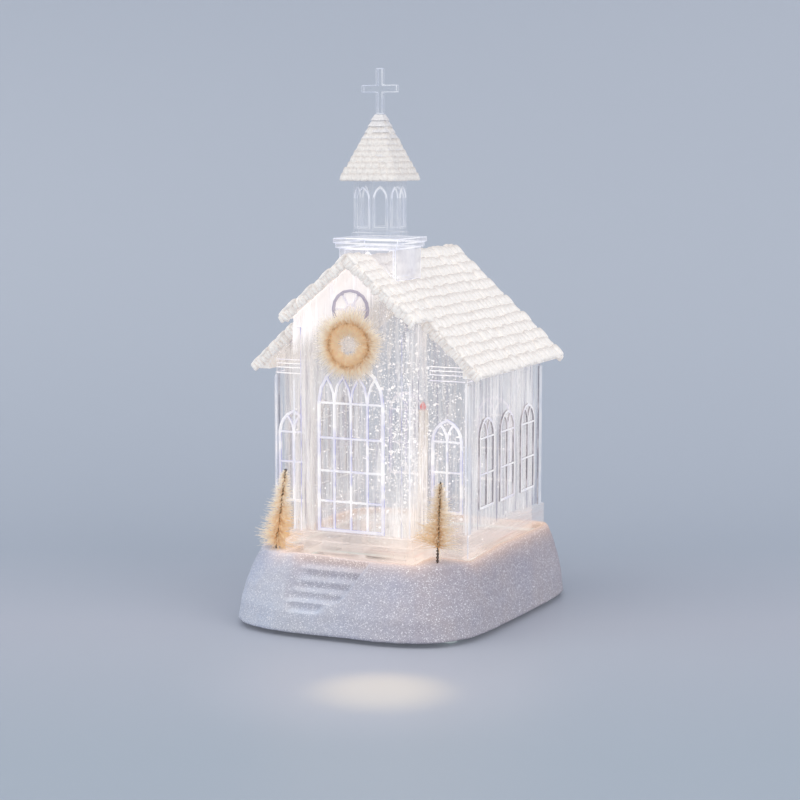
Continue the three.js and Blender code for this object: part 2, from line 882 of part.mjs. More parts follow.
function steepleRoof() {
  const halfAt = (share) => lerp(steepleTopHalf, steepleHalf, (1 - share) ** steepleFlare);
  const rings = [steepleRing(steepleHalf, steepleZ)];
  for (let k = 0; k < steepleCourses; k += 1) {
    const low = k / steepleCourses;
    const high = (k + 1) / steepleCourses;
    const lowZ = lerp(steepleZ, steepleTopZ, low) + (k === 0 ? steepleLip : 0);
    rings.push(steepleRing(halfAt(low) + (k === 0 ? 0 : steepleStep), lowZ));
    rings.push(steepleRing(halfAt(high), lerp(steepleZ, steepleTopZ, high)));
  }
  const hollow = loft([
    steepleRing(belfryHalf - belfryWall, steepleZ - 1),
    steepleRing(belfryHalf - belfryWall, steepleZ),
    steepleRing(steepleTopHalf, lerp(steepleZ, steepleTopZ, 0.66)),
  ]);
  return cut(loft(rings), hollow);
}

add('steeple_roof', steepleRoof(), frostedFinish);

function cross() {
  const bar = crossBar / 2;
  const arm = crossSpan / 2;
  const armLow = crossZ + crossArmRise - bar;
  const armHigh = armLow + crossBar;
  const top = crossZ + crossHeight;
  const right = [[bar, crossZ], [bar, armLow], [arm, armLow], [arm, armHigh], [bar, armHigh], [bar, top]];
  const left = right.map(([x, z]) => [-x, z]).reverse();
  return prismY([...right, ...left], towerY - crossDepth / 2, towerY + crossDepth / 2);
}

add('cross', cross(), clearFinish);

// Tank floor: a flange under the walls, a plug inside them and a well for the drive magnets

const wellTopZ = hubTopZ + wellClearance;

function tankFloor() {
  const plug = -wall - seatGap;
  return cut(
    join(
      churchPlan(0, 0, flangeZ, flangeTopZ),
      churchPlan(plug, plug, flangeTopZ - 0.5, floorTopZ),
    ),
    cylinder(hubRadius + wellClearance, flangeZ - 1, wellTopZ, driveX, driveY, 24),
    cylinder(pinRadius + spinGap, floorTopZ - pinDepth, floorTopZ + 1, driveX, driveY, 12),
    cylinder(bungRadius + seatGap, flangeZ - 1, floorTopZ + 1, bungX, bungY, 20),
  );
}

add('tank_floor', tankFloor(), clearFinish);

function tankGasket() {
  const ring = churchPlan(0, 0, gasketZ, gasketZ + gasketThickness);
  return cut(ring, churchPlan(-wall, -wall, gasketZ - 1, gasketZ + 2));
}

add('tank_gasket', tankGasket(), rubberFinish);

add('fill_bung', turned([
  [0, flangeZ - seatGap - bungHeadThickness],
  [bungHeadRadius, flangeZ - seatGap - bungHeadThickness],
  [bungHeadRadius, flangeZ - seatGap],
  [bungRadius, flangeZ - seatGap],
  [bungRadius - 0.5, floorTopZ - 0.2],
  [0, floorTopZ - 0.2],
], bungX, bungY), rubberFinish);

// Stirrer: a disc with blades and two magnets, turning on a pin inside a slotted guard

const stirrerTopZ = tankZ + stirrerDisc;

function stirrer() {
  const disc = cylinder(stirrerRadius, tankZ, stirrerTopZ, driveX, driveY, 24);
  const bladeLength = stirrerRadius - 1.5;
  const blades = Array.from({ length: bladeCount }, (_, i) => {
    const geometry = new THREE.BoxGeometry(bladeLength, bladeThickness, bladeHeight + 0.5);
    geometry.translate(bladeLength / 2, 0, (bladeHeight - 0.5) / 2);
    geometry.rotateZ((i / bladeCount) * 2 * Math.PI + Math.PI / 4);
    geometry.translate(driveX, driveY, stirrerTopZ);
    return solid(geometry);
  });
  const hub = cylinder(pinRadius + hubWall, stirrerTopZ - 0.5, stirrerTopZ + bladeHeight, driveX, driveY, 16);
  return cut(
    join(disc, hub, ...blades),
    cylinder(pinRadius + spinGap, tankZ - 1, stirrerTopZ + bladeHeight + 1, driveX, driveY, 12),
    ...magnetPlaces().map(([x, y]) => (
      cylinder(magnetRadius + seatGap, tankZ - 1, tankZ + magnetThickness + seatGap, x, y, 12)
    )),
  );
}

function magnetPlaces() {
  return [[driveX - magnetOrbit, driveY], [driveX + magnetOrbit, driveY]];
}

add('stirrer', stirrer(), whitePlastic);

magnetPlaces().forEach(([x, y], i) => {
  const name = `stirrer_magnet_${i + 1}`;
  add(name, cylinder(magnetRadius, tankZ, tankZ + magnetThickness, x, y, 12), steelFinish);
});

const pinZ = floorTopZ - pinDepth + seatGap;
const pinTopZ = pinZ + pinLength;

add('stirrer_pin', cylinder(pinRadius, pinZ, pinTopZ, driveX, driveY, 12), steelFinish);

function stirrerGuard() {
  const top = tankZ + cageHeight;
  const innerTop = top - cageWall;
  const slots = Array.from({ length: cageSlots }, (_, i) => {
    const geometry = new THREE.BoxGeometry(cageRadius, cageSlotWidth, cageHeight - 2 * cageWall - 1);
    geometry.translate(cageRadius, 0, 0);
    geometry.rotateZ(((i + 0.5) / cageSlots) * 2 * Math.PI);
    geometry.translate(driveX, driveY, tankZ + cageHeight / 2);
    return solid(geometry);
  });
  return cut(
    join(
      cut(
        cylinder(cageRadius, tankZ, top, driveX, driveY, 24),
        cylinder(cageRadius - cageWall, tankZ - 1, innerTop, driveX, driveY, 24),
      ),
      cylinder(pinRadius + hubWall, pinTopZ - hubWall, top, driveX, driveY, 12),
    ),
    ...slots,
    cylinder(pinRadius + spinGap, tankZ - 1, pinTopZ + seatGap, driveX, driveY, 12),
    ...Array.from({ length: cageSlots }, (_, i) => {
      const angle = (i / cageSlots) * 2 * Math.PI;
      const reach = cageRadius * 0.6;
      const x = driveX + reach * Math.cos(angle);
      const y = driveY + reach * Math.sin(angle);
      return cylinder(cageSlotWidth / 2, innerTop - 1, top + 1, x, y, 8);
    }),
  );
}

add('stirrer_guard', stirrerGuard(), clearFinish);

// Candle that stands in the water

add('candle', turned([
  [0, tankZ],
  [candleFootRadius, tankZ],
  [candleFootRadius, tankZ + 0.8],
  [candleRadius + 0.4, tankZ + candleFootHeight],
  [candleRadius, tankZ + candleFootHeight],
  [candleRadius, candleTopZ],
  [0, candleTopZ],
], candleX, candleY, 16), candleFinish);

add('candle_flame', turned([
  [0, candleTopZ + seatGap],
  [flameRadius * 0.7, candleTopZ + seatGap],
  [flameRadius, candleTopZ + seatGap + flameHeight * 0.3],
  [flameRadius * 0.6, candleTopZ + seatGap + flameHeight * 0.7],
  [0, candleTopZ + seatGap + flameHeight],
], candleX, candleY, 10), flameFinish);

// Water: fills the tank up to its level, round the guard and the candle

function water() {
  const gap = wall + seatGap;
  const drop = roofDrop + 2 * seatGap;
  const naveHalf = naveHalfWidth - gap;
  const bayHalf = bayHalfWidth - gap;
  const bayOutline = gableOutline(bayHalf, tankZ, bayRidgeZ, baySlope, drop);
  const naveOutline = gableOutline(naveHalf, tankZ, naveRidgeZ, naveSlope, drop);
  const guardTop = tankZ + cageHeight + seatGap;
  const footTop = tankZ + candleFootHeight + seatGap;
  const flameTop = candleTopZ + flameHeight + 2 * seatGap;
  return cut(
    join(
      prismY(naveOutline, naveFrontY + gap, naveBackY - gap),
      prismY(bayOutline, bayFrontY + gap, naveFrontY - seatGap),
      prismY(gableOutline(bayHalf, tankZ, naveRidgeZ, naveSlope, drop), bayFrontY + gap, naveBackY - gap),
    ),
    box(-naveHalf, naveHalf, bayFrontY, naveBackY, waterLevelZ, bayRidgeZ),
    cylinder(cageRadius + 2 * seatGap, tankZ - 1, guardTop, driveX, driveY, 24),
    cylinder(candleFootRadius + 2 * seatGap, tankZ - 1, footTop, candleX, candleY, 12),
    cylinder(candleRadius + 2 * seatGap, tankZ - 1, flameTop, candleX, candleY, 10),
  );
}

add('water', water(), waterFinish);

// Bottom plate with the battery box, motor posts, board posts and switch clips

const boxHalfWidth = (cellPitch * (cellCount - 1)) / 2 + cellRadius + boxEndRoom;
const boxFrontY = boxCentreY - boxHalfWidth;
const boxBackY = boxCentreY + boxHalfWidth;
const doorTopZ = rimZ + doorThickness;
const hingeY = boxBackY - doorHeel - doorHeelRoom;
const hingeZ = rimZ + doorThickness / 2 + 0.1;
const cellZ = doorTopZ + sweepGap + cellRadius;
const boxInnerTopZ = cellZ + cellRadius + sweepGap;
const motorZ = plateTopZ + seatGap;
const motorTopZ = motorZ + motorHeight;
const bracketZ = motorTopZ + seatGap;
const postPlaces = [[driveX - postSpacing, driveY], [driveX + postSpacing, driveY]];
const boardPosts = [[-boardPostX, boardY], [boardPostX, boardY]];
const switchZ = plateTopZ + seatGap;

function plateOutline() {
  const inset = baseWall + plateInset;
  return moundRing(rimZ, inset, roomSides).map(([x, y]) => [x, y]);
}

function bottomPlate() {
  const boxOut = boxHalfLength + boxWall;
  const catches = [-1, 1].map((side) => {
    const x = [side * boxHalfLength, side * (boxHalfLength - catchLength)].sort((a, b) => a - b);
    const z = doorTopZ + seatGap;
    return box(...x, boxFrontY - 0.5, boxFrontY + catchReach, z, z + catchThickness);
  });
  const solids = join(
    prismZ(plateOutline(), rimZ, plateTopZ),
    box(-boxOut, boxOut, boxFrontY - boxWall, boxBackY + boxWall, rimZ, boxInnerTopZ + boxWall),
    ...postPlaces.map(([x, y]) => cylinder(postRadius, rimZ, bracketZ - seatGap, x, y, 12)),
    ...boardPosts.map(([x, y]) => cylinder(boardPostRadius, rimZ, boardZ - seatGap, x, y, 10)),
    ...boardPosts.map(([x, y]) => cylinder(boardPegRadius, rimZ, boardZ + boardThickness + 0.8, x, y, 8)),
    ...switchClips(),
    motorCup(),
  );
  const slotX = [switchX - knobHalfWidth - slideGap, switchX + knobHalfWidth + slideGap];
  const slotY = [switchY - knobHalfLength - slideGap, switchY + switchTravel + knobHalfLength + slideGap];
  const cutters = [
    box(-boxHalfLength, boxHalfLength, boxFrontY, boxBackY, rimZ - 1, boxInnerTopZ),
    box(...slotX, ...slotY, rimZ - 1, plateTopZ + 1),
    cylinderX(
      doorPinRadius + spinGap,
      -boxHalfLength - doorPinLength - seatGap,
      boxHalfLength + doorPinLength + seatGap,
      hingeY,
      hingeZ,
    ),
    ...postPlaces.map(([x, y]) => (
      cylinder(screwRadius + seatGap, bracketZ - screwLength, bracketZ, x, y, 10)
    )),
    ...baseScrewPlaces.map(([x, y]) => cylinder(screwRadius + seatGap, rimZ - 1, plateTopZ + 1, x, y, 8)),
    ...baseScrewPlaces.map(([x, y]) => (
      cylinder(screwHeadRadius + seatGap, rimZ - 1, rimZ + screwHeadHeight + seatGap, x, y, 12)
    )),
  ];
  return join(cut(solids, ...cutters), ...catches);
}

function switchClips() {
  const near = switchY + switchTravel / 2 - switchHalfLength - seatGap;
  const far = switchY + switchTravel / 2 + switchHalfLength + seatGap;
  return [[near - clipThickness, near], [far, far + clipThickness]].map(([y0, y1]) => (
    box(switchX - switchHalfWidth, switchX + switchHalfWidth, y0, y1, rimZ, plateTopZ + clipHeight)
  ));
}

function motorCup() {
  const inner = motorRadius + seatGap;
  return cut(
    cylinder(inner + cupWall, rimZ, plateTopZ + cupHeight, driveX, driveY, 24),
    cylinder(inner, plateTopZ, plateTopZ + cupHeight + 1, driveX, driveY, 24),
  );
}

add('bottom_plate', bottomPlate(), whitePlastic);

// Battery door: swings on two pins at its back edge

function batteryDoor() {
  const halfLength = boxHalfLength - sweepGap;
  const leaf = box(-halfLength, halfLength, boxFrontY + sweepGap, hingeY + doorHeel, rimZ, doorTopZ);
  const pins = cylinderX(
    doorPinRadius,
    -boxHalfLength - doorPinLength,
    boxHalfLength + doorPinLength,
    hingeY,
    hingeZ,
  );
  const fingerNotch = cylinder(5, rimZ - 1, rimZ + doorThickness / 2, 0, boxFrontY + sweepGap + 1, 20);
  const gripY = [boxFrontY + 9, boxFrontY + 9 + gripLength];
  const grips = [-2, -1, 1, 2].map((i) => {
    const x = i * gripPitch;
    return box(x - gripWidth / 2, x + gripWidth / 2, ...gripY, rimZ - 1, rimZ + gripDepth);
  });
  return cut(join(leaf, pins), fingerNotch, ...grips);
}

add('battery_door', batteryDoor(), whitePlastic);

// Cells lie side by side, each turned end for end to its neighbour

function cellSolid(y, direction) {
  const half = cellLength / 2;
  const geometry = new THREE.LatheGeometry([
    [0, -half],
    [cellRadius - 0.6, -half],
    [cellRadius, -half + 0.6],
    [cellRadius, half - nubLength - 0.6],
    [cellRadius - 0.6, half - nubLength],
    [nubRadius, half - nubLength],
    [nubRadius, half],
    [0, half],
  ].map(([r, v]) => new THREE.Vector2(r, v)), 16);
  geometry.rotateZ(direction > 0 ? -Math.PI / 2 : Math.PI / 2);
  geometry.translate(direction * cellShift, y, cellZ);
  return solid(geometry);
}

const cellShift = boxHalfLength - contactThickness - domeHeight - 3 * seatGap - cellLength / 2;
const cells = Array.from({ length: cellCount }, (_, i) => ({
  y: boxCentreY + (i - (cellCount - 1) / 2) * cellPitch,
  direction: i % 2 === 0 ? 1 : -1,
}));

cells.forEach(({ y, direction }, i) => {
  add(`battery_${i + 1}`, cellSolid(y, direction), cellFinish);
});

// Contacts: plates at both ends of the box, with a dome for each plus end and a coil for each minus end

function contact(side, firstY, lastY, domes) {
  const outer = side * (boxHalfLength - seatGap);
  const inner = side * (boxHalfLength - seatGap - contactThickness);
  const plateX = [inner, outer].sort((a, b) => a - b);
  const plateY = [firstY - contactWidth / 2, lastY + contactWidth / 2];
  const plate = box(...plateX, ...plateY, cellZ - contactHeight / 2, cellZ + contactHeight / 2);
  const tops = domes.map((y) => {
    const geometry = new THREE.CylinderGeometry(nubRadius * 0.6, nubRadius, domeHeight + 0.2, 12);
    geometry.rotateZ(side * Math.PI / 2);
    geometry.translate(inner - side * (domeHeight - 0.2) / 2, y, cellZ);
    return solid(geometry);
  });
  return join(plate, ...tops);
}

add('contact_positive', contact(1, cells[0].y, cells[0].y, [cells[0].y]), steelFinish);
add('contact_negative', contact(-1, cells[2].y, cells[2].y, []), steelFinish);
add('contact_link_left', contact(-1, cells[0].y, cells[1].y, [cells[1].y]), steelFinish);
add('contact_link_right', contact(1, cells[1].y, cells[2].y, [cells[2].y]), steelFinish);

class CoilCurve extends THREE.Curve {
  constructor(from, to, y, z) {
    super();
    this.from = from;
    this.to = to;
    this.y = y;
    this.z = z;
  }

  getPoint(t) {
    const angle = t * springTurns * 2 * Math.PI;
    const radius = lerp(springRadius, springRadius * 0.65, t);
    return new THREE.Vector3(
      lerp(this.from, this.to, t),
      this.y + radius * Math.cos(angle),
      this.z + radius * Math.sin(angle),
    );
  }
}

cells.forEach(({ y, direction }, i) => {
  const side = -direction;
  const plateFace = side * (boxHalfLength - seatGap - contactThickness);
  const cellFace = direction * (cellShift - cellLength / 2);
  const path = new CoilCurve(
    plateFace - side * (seatGap + springWire),
    cellFace + side * (seatGap + springWire),
    y,
    cellZ,
  );
  const coil = new THREE.ExtrudeGeometry(shapeOf(ringOutline(springWire, 5)), {
    steps: springTurns * 7,
    extrudePath: path,
    bevelEnabled: false,
  });
  add(`contact_spring_${i + 1}`, solid(coil), steelFinish);
});

// Motor, drive shaft and magnet hub

const shaftZ = motorTopZ - shaftInMotor;

add('motor', cut(
  join(
    cylinder(motorRadius, motorZ, motorTopZ, driveX, driveY, 24),
    cylinder(motorBossRadius, motorTopZ - 0.5, motorTopZ + motorBossHeight, driveX, driveY, 16),
  ),
  cylinder(shaftRadius + spinGap, shaftZ - seatGap, motorTopZ + motorBossHeight + 1, driveX, driveY, 12),
), steelFinish);

const hubZ = hubTopZ - hubThickness;

add('drive_shaft', cylinder(
  shaftRadius,
  shaftZ,
  hubTopZ - seatGap,
  driveX,
  driveY,
  12,
), steelFinish);

add('magnet_hub', cut(
  join(
    cylinder(hubRadius, hubZ, hubTopZ, driveX, driveY, 24),
    cylinder(shaftRadius + hubWall, hubZ - hubCollar, hubZ + 0.5, driveX, driveY, 12),
  ),
  cylinder(shaftRadius + spinGap, hubZ - hubCollar - 1, hubTopZ + 1, driveX, driveY, 12),
  ...magnetPlaces().map(([x, y]) => (
    cylinder(magnetRadius + seatGap, hubTopZ - magnetThickness - seatGap, hubTopZ + 1, x, y, 12)
  )),
), blackPlastic);

magnetPlaces().forEach(([x, y], i) => {
  const name = `drive_magnet_${i + 1}`;
  add(name, cylinder(magnetRadius, hubTopZ - magnetThickness, hubTopZ, x, y, 12), steelFinish);
});

function motorBracket() {
  const reach = bracketHalfLength - bracketHalfWidth;
  const outline = [];
  for (const side of [1, -1]) {
    for (let i = 0; i <= 8; i += 1) {
      const angle = (i / 8 - 0.5) * Math.PI;
      const x = side * (reach + bracketHalfWidth * Math.cos(angle));
      outline.push([driveX + x, driveY + side * bracketHalfWidth * Math.sin(angle)]);
    }
  }
  return cut(
    prismZ(outline, bracketZ, bracketZ + bracketThickness),
    cylinder(motorBossRadius + seatGap, bracketZ - 1, bracketZ + 5, driveX, driveY, 20),
    ...postPlaces.map(([x, y]) => cylinder(screwRadius + seatGap, bracketZ - 1, bracketZ + 5, x, y, 12)),
  );
}

add('motor_bracket', motorBracket(), steelFinish);

// A pan-head screw whose head lies at headZ; it points down, or up for the base screws
function screw(x, y, headZ, length, pointsUp) {
  const way = pointsUp ? 1 : -1;
  const profile = [
    [0, headZ - way * screwHeadHeight],
    [screwHeadRadius, headZ - way * screwHeadHeight],
    [screwHeadRadius, headZ],
    [screwRadius, headZ],
    [screwRadius, headZ + way * (length - 1)],
    [0, headZ + way * length],
  ];
  return turned(pointsUp ? profile : profile.reverse(), x, y, 12);
}

postPlaces.forEach(([x, y], i) => {
  const headZ = bracketZ + bracketThickness + seatGap;
  add(`motor_screw_${i + 1}`, screw(x, y, headZ, screwLength, false), steelFinish);
});

baseScrewPlaces.forEach(([x, y], i) => {
  const headZ = rimZ + screwHeadHeight;
  add(`base_screw_${i + 1}`, screw(x, y, headZ, baseScrewLength, true), steelFinish);
});

// Light board with two lamps and the timer chip

add('light_board', cut(
  box(
    -boardHalfLength, boardHalfLength,
    boardY - boardHalfWidth, boardY + boardHalfWidth,
    boardZ, boardZ + boardThickness,
  ),
  ...boardPosts.map(([x, y]) => cylinder(boardPegRadius + seatGap, boardZ - 1, boardZ + 5, x, y, 10)),
), boardFinish);

const boardTopZ = boardZ + boardThickness + seatGap;

ledX.forEach((x, i) => {
  add(`led_${i + 1}`, turned([
    [0, boardTopZ],
    [ledRimRadius, boardTopZ],
    [ledRimRadius, boardTopZ + 1],
    [ledRadius, boardTopZ + 1],
    [ledRadius, boardTopZ + ledHeight - ledRadius],
    [ledRadius * 0.87, boardTopZ + ledHeight - ledRadius * 0.5],
    [ledRadius * 0.5, boardTopZ + ledHeight - ledRadius * 0.13],
    [0, boardTopZ + ledHeight],
  ], x, boardY, 12), ledFinish);
});

add('timer_chip', box(
  -chipLength / 2, chipLength / 2,
  boardY - chipWidth / 2, boardY + chipWidth / 2,
  boardTopZ, boardTopZ + chipHeight,
), blackPlastic);

// Leads in the base: from the battery box to the switch, on to the light board, and to the motor

function lead(points) {
  const path = new THREE.CatmullRomCurve3(points.map((point) => new THREE.Vector3(...point)));
  const section = shapeOf(ringOutline(leadRadius, leadSides));
  return solid(new THREE.ExtrudeGeometry(section, {
    steps: leadSteps,
    extrudePath: path,
    bevelEnabled: false,
  }));
}

const switchTopZ = switchZ + switchHeight + seatGap;
const boxSideX = -(boxHalfLength + boxWall + seatGap);
const boardSideX = -(boardHalfLength + seatGap);
const boardBackY = boardY + boardHalfWidth + seatGap;
const leadZ = boardZ + boardThickness / 2;
const loopZ = switchTopZ + leadLoop;

add('lead_battery', lead([
  [boxSideX, boxFrontY + 8, loopZ - 1],
  [boxSideX - 4, boxFrontY + 7.6, loopZ - 0.8],
  [switchX + 2.5, boxFrontY, loopZ],
  [switchX + 0.2, switchY + 12, loopZ],
  [switchX, switchY + 7, loopZ - 1.5],
  [switchX, switchY + 6.8, switchTopZ],
]), redFinish);

add('lead_switch', lead([
  [switchX, switchY - 1, switchTopZ],
  [switchX, switchY - 1.3, loopZ - 1.5],
  [switchX + 1, switchY - 8, loopZ + 0.4],
  [switchX + 5, boardY + 9, leadZ - 1.2],
  [boardSideX - 5.7, boardY + 1.5, leadZ],
  [boardSideX, boardY, leadZ],
]), redFinish);

const motorLeadTurn = -1.2;
const motorLeadZ = motorZ + 7.3;
const offMotor = (reach, z) => [
  driveX + (motorRadius + reach) * Math.cos(motorLeadTurn),
  driveY + (motorRadius + reach) * Math.sin(motorLeadTurn),
  z,
];

add('lead_motor', lead([
  [driveX + 8, boardBackY, leadZ],
  [driveX + 8, boardBackY + 2, leadZ - 0.5],
  offMotor(4.8, motorLeadZ + 0.5),
  offMotor(2.5, motorLeadZ),
  offMotor(seatGap + 0.1, motorLeadZ),
]), blackPlastic);

// Slide switch

function switchBody() {
  const middleY = switchY + switchTravel / 2;
  const reach = sliderHalfLength + slideGap;
  return cut(
    box(
      switchX - switchHalfWidth, switchX + switchHalfWidth,
      middleY - switchHalfLength, middleY + switchHalfLength,
      switchZ, switchZ + switchHeight,
    ),
    box(
      switchX - sliderHalfWidth - slideGap, switchX + sliderHalfWidth + slideGap,
      switchY - reach, switchY + switchTravel + reach,
      switchZ - 1, switchZ + sliderFlange + slideGap,
    ),
  );
}

add('switch_body', switchBody(), steelFinish);

add('switch_slider', join(
  box(
    switchX - sliderHalfWidth, switchX + sliderHalfWidth,
    switchY - sliderHalfLength, switchY + sliderHalfLength,
    switchZ, switchZ + sliderFlange,
  ),
  box(
    switchX - knobHalfWidth, switchX + knobHalfWidth,
    switchY - knobHalfLength, switchY + knobHalfLength,
    rimZ - knobProud, switchZ + 0.5,
  ),
), blackPlastic);

footPlaces.forEach(([x, y], i) => {
  add(`foot_${i + 1}`, cylinder(footRadius - 0.5, 0, footHeight, x, y, 12, footRadius), rubberFinish);
});

// Brush trees and wreath: bristles fused to the twisted wire that holds them

// A three-sided bristle from the point at along the way it goes
function bristle(at, way, length, width) {
  const geometry = new THREE.ConeGeometry(width / Math.sqrt(3), length, 3);
  geometry.translate(0, length / 2, 0);
  geometry.applyQuaternion(new THREE.Quaternion().setFromUnitVectors(new THREE.Vector3(0, 1, 0), way));
  geometry.translate(at.x, at.y, at.z);
  return solid(geometry);
}

const goldenAngle = Math.PI * (3 - Math.sqrt(5));

function tree(shape) {
  const low = shape.bareStem;
  const rise = shape.height - low;
  const stem = cylinder(stemRadius, low, shape.height, 0, 0, 8);
  const strands = Array.from({ length: treeStrands }, (_, i) => {
    const share = (i + 0.5) / treeStrands;
    const height = low + 0.6 + (rise - 2.5) * share;
    const length = shape.radius * (1 - share) ** 0.8 + 1.6;
    const angle = i * goldenAngle;
    const way = new THREE.Vector3(Math.cos(angle), Math.sin(angle), bristleRise).normalize();
    return bristle(new THREE.Vector3(0, 0, height), way, length, treeBristleWidth);
  });
  return join(stem, ...strands);
}

function treeStem(shape) {
  return cylinder(stemRadius, -treeHoleDepth + seatGap, shape.bareStem - seatGap, 0, 0, 8);
}

add('tree_left', tree(leftTree), bristleFinish, leanMatrix(leftTree));
add('tree_right', tree(rightTree), bristleFinish, leanMatrix(rightTree));
add('tree_left_stem', treeStem(leftTree), wireFinish, leanMatrix(leftTree));
add('tree_right_stem', treeStem(rightTree), wireFinish, leanMatrix(rightTree));

const wreathY = bayFrontY - relief - seatGap - wreathDepth;

function wreath() {
  const ring = new THREE.TorusGeometry(wreathRingRadius, wreathWire, 5, 24);
  ring.rotateX(Math.PI / 2);
  ring.translate(wreathX, wreathY, wreathZ);
  const strands = Array.from({ length: wreathStrands }, (_, i) => {
    const round = (i / wreathStrands) * 2 * Math.PI;
    const tilt = i * goldenAngle;
    const outward = Math.cos(tilt);
    const forward = Math.sin(tilt);
    const along = outward > 0 ? wreathOut : wreathIn;
    const length = 1 / Math.sqrt((outward / along) ** 2 + (forward / wreathDepth) ** 2);
    const way = new THREE.Vector3(outward * Math.cos(round), -forward, outward * Math.sin(round));
    const at = new THREE.Vector3(
      wreathX + wreathRingRadius * Math.cos(round),
      wreathY,
      wreathZ + wreathRingRadius * Math.sin(round),
    );
    return bristle(at, way.normalize(), length, wreathStrandWidth);
  });
  return join(solid(ring), ...strands);
}

add('wreath', wreath(), bristleFinish);

export default church;
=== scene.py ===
import math
import random

import bmesh
import bpy
from mathutils import Matrix, Vector


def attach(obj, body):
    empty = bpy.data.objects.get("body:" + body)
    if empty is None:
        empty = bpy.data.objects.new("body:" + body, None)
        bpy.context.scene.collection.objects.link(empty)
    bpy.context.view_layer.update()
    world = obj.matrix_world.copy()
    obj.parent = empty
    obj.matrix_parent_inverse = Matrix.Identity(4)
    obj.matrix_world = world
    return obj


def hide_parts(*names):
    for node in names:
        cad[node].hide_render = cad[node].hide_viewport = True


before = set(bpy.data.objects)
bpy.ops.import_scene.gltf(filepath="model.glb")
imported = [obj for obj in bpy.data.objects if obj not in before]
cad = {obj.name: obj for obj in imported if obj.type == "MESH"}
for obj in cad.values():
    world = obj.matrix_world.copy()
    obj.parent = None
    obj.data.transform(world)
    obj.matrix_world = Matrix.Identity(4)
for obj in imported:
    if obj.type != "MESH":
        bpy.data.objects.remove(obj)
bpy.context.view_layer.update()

# Studio: one sheet of pale blue card swept up behind the church, a large soft lamp at the upper
# left, a weak one at the right and an even sky. The camera stands a metre away, a little above
# the eaves.


def paint(red, green, blue):
    """A colour written as 0 to 255 for the screen, as a shader socket takes it."""
    linear = [((c / 255 + 0.055) / 1.055) ** 2.4 if c > 10 else c / 255 / 12.92 for c in (red, green, blue)]
    return (*linear, 1.0)


scene = bpy.context.scene
scene.view_settings.view_transform = "Standard"
scene.cycles.transparent_max_bounces = 40

view_turn = math.radians(24.6023)
view_dip = math.radians(7.24766)
camera_data = bpy.data.cameras.new("camera")
camera_data.lens = 92.2
camera = bpy.data.objects.new("camera", camera_data)
camera.location = (0.424007, -0.925381, 0.235447)
camera.rotation_euler = (math.pi / 2 - view_dip, 0, view_turn)
scene.collection.objects.link(camera)
scene.camera = camera

sky = bpy.data.worlds.new("sky")
scene.world = sky
sky.use_nodes = True
sky_light = sky.node_tree.nodes["Background"]
sky_light.inputs["Color"].default_value = paint(234, 236, 240)
sky_light.inputs["Strength"].default_value = 1.04


def lamp(name, kind, place, target, power, colour, **settings):
    """A lamp that shines from its place at a target."""
    data = bpy.data.lights.new(name, kind)
    data.energy = power
    data.color = colour
    for label, value in settings.items():
        setattr(data, label, value)
    stand = bpy.data.objects.new(name, data)
    stand.location = place
    aim = Vector(target) - Vector(place)
    stand.rotation_euler = aim.to_track_quat("-Z", "Y").to_euler()
    scene.collection.objects.link(stand)


lamp("key_lamp", "AREA", (-1.25, -1.0, 1.35), (0, 0, 0.1), 11.5, (1.0, 0.985, 0.96), shape="DISK", size=2.6)
lamp("fill_lamp", "AREA", (1.5, -0.5, 0.9), (0, 0, 0.12), 6.5, (1.0, 0.94, 0.91), shape="DISK", size=1.4)

# A small pool of warm light on the card in front of the base, in a wider and weaker one
for name, place, target, angle, power, colour in (
    ("pool_light", (0.052, -0.128, 0.1), (0.059, -0.147, 0), 42, 0.24, (1.0, 0.69, 0.28)),
    ("pool_edge", (0.05, -0.165, 0.16), (0.052, -0.142, 0), 64, 0.15, (1.0, 0.7, 0.64)),
):
    lamp(
        name, "SPOT", place, target, power, colour,
        spot_size=math.radians(angle), spot_blend=1.0, shadow_soft_size=0.006,
    )

sweep_start = 0.17
sweep_radius = 0.42
bpy.ops.object.select_all(action="DESELECT")
bpy.ops.mesh.primitive_plane_add(size=1, location=(0, 0, 0))
sweep = bpy.context.object
sweep.name = "studio_sweep"
for corner in sweep.data.vertices:
    corner.co.x *= 7
    corner.co.y = sweep_start if corner.co.y > 0 else -2.6
bpy.ops.object.mode_set(mode="EDIT")
shell = bmesh.from_edit_mesh(sweep.data)
for edge in shell.edges:
    edge.select_set(all(v.co.y > sweep_start - 0.001 for v in edge.verts))
shell.select_flush_mode()
bmesh.update_edit_mesh(sweep.data)
turn_steps = 16
for step in range(turn_steps):
    here = step / turn_steps * math.pi / 2
    there = (step + 1) / turn_steps * math.pi / 2
    move = (
        0,
        sweep_radius * (math.sin(there) - math.sin(here)),
        sweep_radius * (math.cos(here) - math.cos(there)),
    )
    bpy.ops.mesh.extrude_region_move(TRANSFORM_OT_translate={"value": move})
bpy.ops.mesh.extrude_region_move(TRANSFORM_OT_translate={"value": (0, 0, 2.4)})
bpy.ops.object.mode_set(mode="OBJECT")
bpy.ops.object.shade_smooth()
sweep.rotation_euler = (0, 0, view_turn)


def new_material(name, **values):
    """A Principled material; values are set on its own sockets by name."""
    material = bpy.data.materials.new(name)
    material.use_nodes = True
    surface = material.node_tree.nodes["Principled BSDF"]
    for label, value in values.items():
        surface.inputs[label.replace("_", " ")].default_value = value
    return material, material.node_tree, surface


